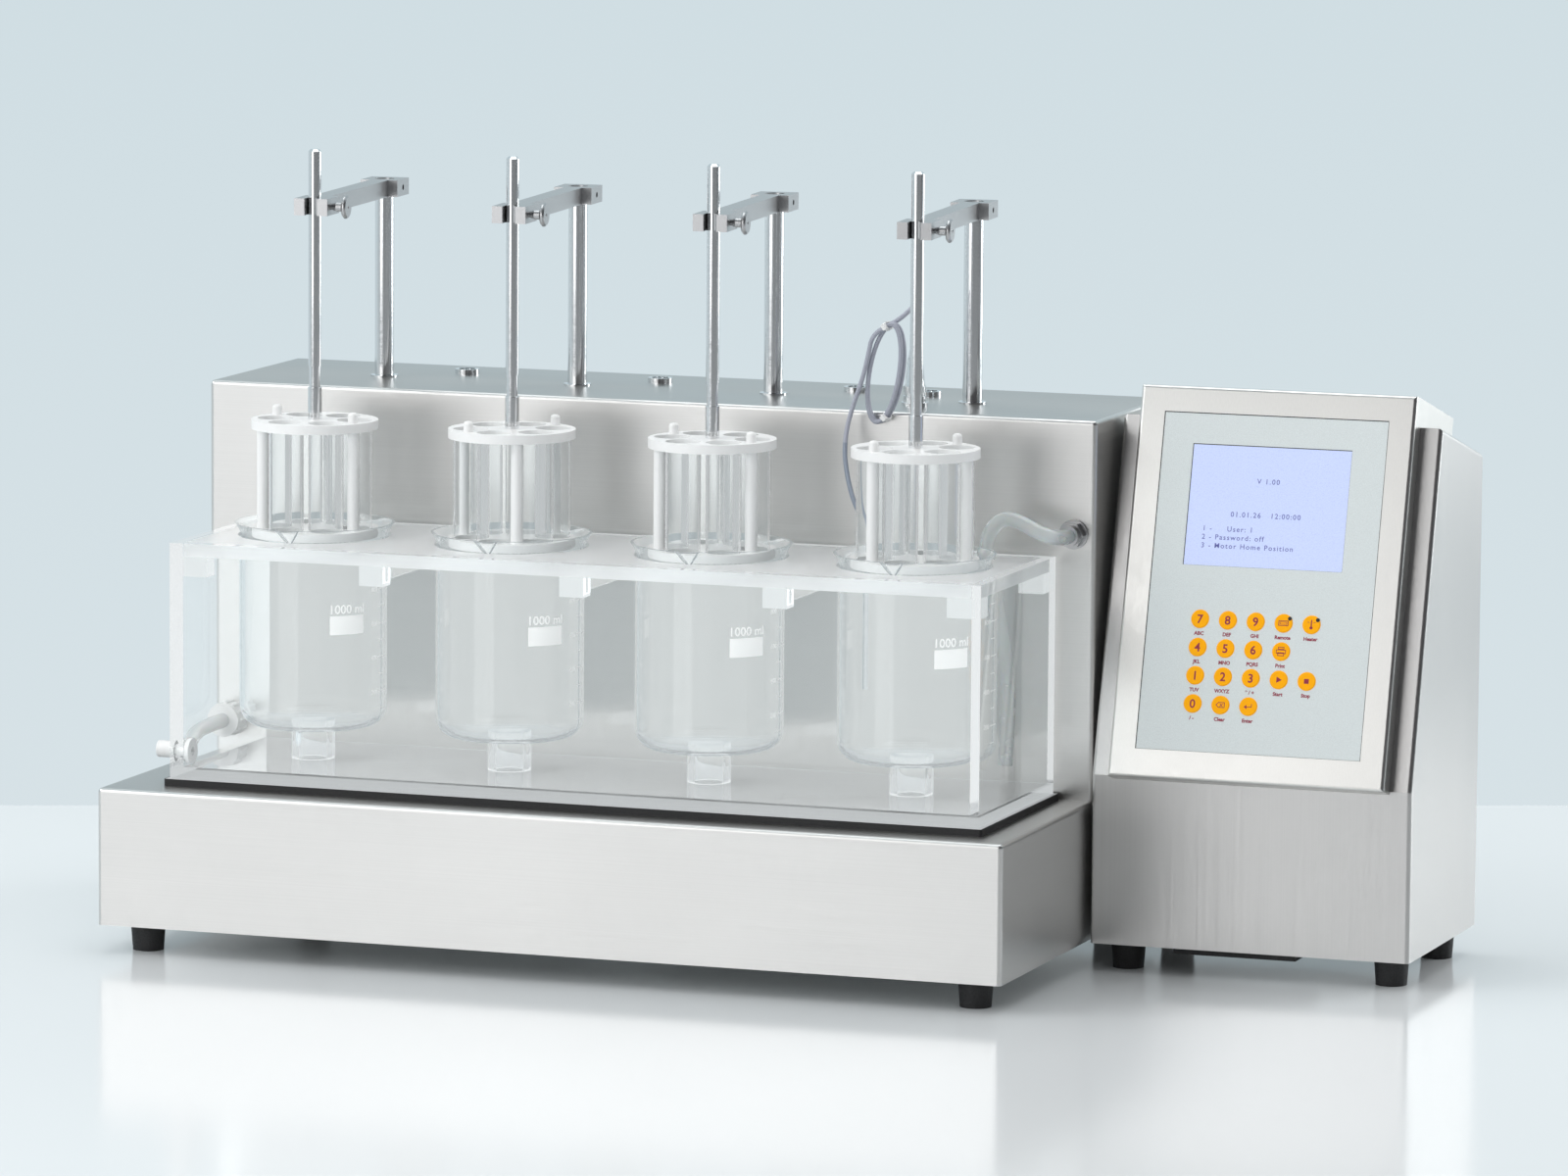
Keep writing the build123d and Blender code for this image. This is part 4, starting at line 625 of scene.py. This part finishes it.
def joined(name, pieces, material, body="tester"):
    """One piece out of several, with a finish and the body it rides on."""
    bpy.ops.object.select_all(action="DESELECT")
    for piece in pieces:
        piece.select_set(True)
    bpy.context.view_layer.objects.active = pieces[0]
    bpy.ops.object.join()
    whole = bpy.context.object
    whole.name = name
    whole.data.materials.clear()
    whole.data.materials.append(material)
    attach(whole, body)
    bpy.ops.object.select_all(action="DESELECT")
    return whole


def fine_print(name, color, roughness):
    """Printing ink that lies a little unevenly."""
    material, shader, tree = new_material(name, color, roughness)
    mottle = noise_on(tree, 1500)
    tone = ranged(tree, mottle, 0.3, 0.7, 0.94, 1.05)
    tree.links.new(tinted(tree, color, tone), shader.inputs["Base Color"])
    tree.links.new(ranged(tree, mottle, 0.3, 0.7, roughness, roughness + 0.1), shader.inputs["Roughness"])
    return material, shader, tree


membrane = fine_print("membrane foil", (0.69, 0.745, 0.75), 0.42)[0]
dress(membrane, "membrane_panel")
maroon = fine_print("maroon ink", (0.30, 0.012, 0.045), 0.45)[0]

first_key = (0.0576, 0.0541)
key_pitch = (0.0202, 0.01987)
key_across = [first_key[0] + key_pitch[0] * k for k in range(5)]
key_up = [first_key[1] + key_pitch[1] * k for k in range(4)]
word_drop = 0.0100
word_height = 0.0025
digit_height = 0.0060
key_words = (
    ("/ -", "Clear", "Enter"),
    ("TUV", "WXYZ", "* / +", "Start", "Stop"),
    ("JKL", "MNO", "PQRS", "Print"),
    ("ABC", "DEF", "GHI", "Remote", "Heater"),
)
membrane_front = front_of("membrane_panel")
words = []
for row, line in enumerate(key_words):
    for k, word in enumerate(line):
        word_place = on_panel(key_across[k], key_up[row] - word_drop, membrane_front)
        words.append(printed(word, word_height, word_place, bold=0.06))
panel_words = joined("panel_words", words, maroon)

# Keys
# Domed amber key caps embossed in the foil, each with its maroon number or sign.
amber, amber_shader, _ = fine_print("amber key with painted glow", (0.98, 0.42, 0.0), 0.5)
amber_shader.inputs["Specular IOR Level"].default_value = 0.15
# The faint amber emission is a painted glow that keeps the keys bright and deep in colour.
amber_shader.inputs["Emission Color"].default_value = (1, 0.42, 0, 1)
amber_shader.inputs["Emission Strength"].default_value = 0.08
dress(amber, "keys")
key_front = front_of("keys")
signs = [printed(digit, digit_height, on_panel(key_across[k], key_up[row], key_front), bold=0.03)
         for row, line in enumerate(("0", "123", "456", "789")) for k, digit in enumerate(line)]


def sign(outline, column, row):
    """A sign drawn on one key, around its middle."""
    return cut_shape(outline, on_panel(key_across[column], key_up[row], key_front))


def framed(left, low, right, high, line):
    """The four bars of a rectangle's outline."""
    return [[(left, low), (right, low), (right, low + line), (left, low + line)],
            [(left, high - line), (right, high - line), (right, high), (left, high)],
            [(left, low), (left + line, low), (left + line, high), (left, high)],
            [(right - line, low), (right, low), (right, high), (right - line, high)]]


signs.append(sign([(-1.5, -2.2), (2.4, 0), (-1.5, 2.2)], 3, 1))
signs.append(sign([(-1.7, -1.7), (1.7, -1.7), (1.7, 1.7), (-1.7, 1.7)], 4, 1))
signs += [sign(bar, 1, 0) for bar in ([(-3.4, 0), (-1.4, 2), (-1.0, 1.6), (-2.6, 0)],
                                       [(-3.4, 0), (-2.6, 0), (-1.0, -1.6), (-1.4, -2)],
                                       [(-1.4, 1.5), (3.2, 1.5), (3.2, 2), (-1.4, 2)],
                                       [(-1.4, -2), (3.2, -2), (3.2, -1.5), (-1.4, -1.5)],
                                       [(2.7, -2), (3.2, -2), (3.2, 2), (2.7, 2)],
                                       [(-0.6, -1.1), (-0.2, -1.4), (1.9, 0.9), (1.5, 1.2)],
                                       [(-0.6, 0.9), (1.5, -1.4), (1.9, -1.1), (-0.2, 1.2)])]
signs += [sign(bar, 2, 0) for bar in ([(-3.2, -0.4), (-1.2, 1.2), (-1.2, -2)],
                                       [(-1.4, -0.65), (2.6, -0.65), (2.6, -0.15), (-1.4, -0.15)],
                                       [(2.1, -0.65), (2.6, -0.65), (2.6, 2), (2.1, 2)])]
signs += [sign(bar, 3, 3) for bar in framed(-3.6, -1.9, 3.6, 1.9, 0.5) + framed(-2.6, -0.9, 2.6, 0.9, 0.35)]
signs += [sign(bar, 3, 2) for bar in framed(-3.6, -1.6, 3.6, 1.3, 0.5) + framed(-2.2, 1.3, 2.2, 3.3, 0.5)
          + framed(-2.4, -3.2, 2.4, -0.6, 0.5)]
signs += [sign(bar, 4, 3) for bar in ([(-0.45, -1.6), (0.45, -1.6), (0.45, 3.4), (-0.45, 3.4)],
                                       [(-1.3, -2.3), (-0.6, -3.3), (0.6, -3.3), (1.3, -2.3),
                                        (0.7, -1.3), (-0.7, -1.3)],
                                       [(-3.0, 1.4), (-1.4, 1.4), (-1.4, 1.8), (-3.0, 1.8)],
                                       [(1.4, 1.4), (3.0, 1.4), (3.0, 1.8), (1.4, 1.8)])]
key_signs = joined("key_signs", signs, maroon)
black_ink_and_shade = fine_print("black ink and painted shade", (0.012, 0.012, 0.014), 0.4)[0]
dot = [(1.4 * cos(k * pi / 12), 1.4 * sin(k * pi / 12)) for k in range(24)]
dots = [cut_shape(dot, on_panel(key_across[k] + 0.0044, key_up[3] + 0.0034, key_front)) for k in (3, 4)]
key_dots = joined("key_dots", dots, black_ink_and_shade)

# Display
# Lit liquid crystal display behind its window, pale blue with darker characters.
screen, screen_shader, _ = fine_print("lit display", (0.46, 0.53, 0.78), 0.25)
screen_shader.inputs["Emission Color"].default_value = (0.60, 0.70, 0.98, 1)
screen_shader.inputs["Emission Strength"].default_value = 0.27
dress(screen, "display_window")
screen_ink = fine_print("display characters", (0.13, 0.14, 0.46), 0.4)[0]
window_front = front_of("display_window")
rows = [("V 1.00", 57, 61), ("01.01.26   12:00:00", 57, 37), ("1 -     User: 1", 12, 26.5),
        ("2 - Password: off", 12, 20.5), ("3 - Motor Home Position", 12, 14.5)]
row_middle = 57
character_height = 0.0036
window_corner = (0.0414, 0.1514)
characters = []
for text, left, up in rows:
    row_place = on_panel(window_corner[0] + left / 1000, window_corner[1] + up / 1000, window_front)
    row_align = "CENTER" if left == row_middle else "LEFT"
    characters.append(printed(text, character_height, row_place, row_align, spacing=1.25, bold=0.012))
display_characters = joined("display_characters", characters, screen_ink)


def seam_and_painted_shade(left, low, right, high, out, broad, slim):
    """A thin dark seam round a sheet in millimetres, widened by painted recess shade on its left and top.
    """
    place = on_panel(0, 0, out)
    return [cut_shape(bar, place) for bar in (
        [(left, low), (left + broad, low), (left + broad, high), (left, high)],
        [(left, high - broad), (right, high - broad), (right, high), (left, high)],
        [(right - slim, low), (right, low), (right, high), (right - slim, high)],
        [(left, low), (right, low), (right, low + slim), (left, low + slim)])]


foil_edges = (18.6, 20.5, 181.4, 259.1)
window_edges = (41.4, 151.4, 156.9, 237.2)
# The broad bars on the left and top are painted shade of the recess; the slim bars all round are the dark
# seam.
panel_seams_and_shade = joined("panel_seams_and_shade", seam_and_painted_shade(*foil_edges, membrane_front, 0.7, 0.15)
                    + seam_and_painted_shade(*window_edges, window_front, 0.6, 0.1), black_ink_and_shade)

# Beaker marks
# White fired enamel on the glass: the size, a field to write on and a scale at 100 ml steps.
enamel, enamel_shader, _ = fine_print("white enamel with painted glow", (0.92, 0.93, 0.92), 0.4)
# The enamel's faint emission is a painted glow that lifts marks facing away from the lamps.
enamel_shader.inputs["Emission Color"].default_value = (1, 1, 1, 1)
enamel_shader.inputs["Emission Strength"].default_value = 0.22
beaker_radius = 0.0525
beaker_y = -0.068


def on_beaker(piece, center_x, turn, height):
    """Wraps a flat print round a beaker, turned from the front to the right."""
    for vertex in piece.data.vertices:
        angle = turn + vertex.co.x / beaker_radius
        reach = beaker_radius + 0.00008 + vertex.co.z
        vertex.co = (center_x + reach * sin(angle), beaker_y - reach * cos(angle), height + vertex.co.y)
    return piece


flat = Matrix.Identity(4)
beaker_centers = (-0.335, -0.185, -0.035, 0.115)
label_turn = radians(50)
label_height, label_level = 0.0062, 0.2440
field_size, field_level = (0.027, 0.0133), 0.2325
scale_turn = radians(84)
scale_zero, scale_step = 0.1580, 0.0122
number_turn = radians(82)
number_height = 0.0034
tick_height = 0.0007
short_tick, long_tick = 0.007, 0.012
marks = []
for center_x in beaker_centers:
    marks.append(on_beaker(printed("1000 ml", label_height, flat), center_x, label_turn, label_level))
    bpy.ops.mesh.primitive_grid_add(x_subdivisions=12, y_subdivisions=1, size=1)
    field = bpy.context.object
    field.data.transform(Matrix.Diagonal((*field_size, 1, 1)))
    marks.append(on_beaker(field, center_x, label_turn, field_level))
    for step in range(1, 10):
        width = short_tick if step % 2 else long_tick
        level = scale_zero + scale_step * step
        bpy.ops.mesh.primitive_grid_add(x_subdivisions=4, y_subdivisions=1, size=1)
        tick = bpy.context.object
        shape = Matrix.Diagonal((width, tick_height, 1, 1))
        tick.data.transform(Matrix.Translation((width / 2, 0, 0)) @ shape)
        marks.append(on_beaker(tick, center_x, scale_turn, level))
        if step % 2 == 0:
            number = printed(f"{step}00", number_height, flat, "RIGHT")
            marks.append(on_beaker(number, center_x, number_turn, level))
beaker_marks = joined("beaker_marks", marks, enamel)
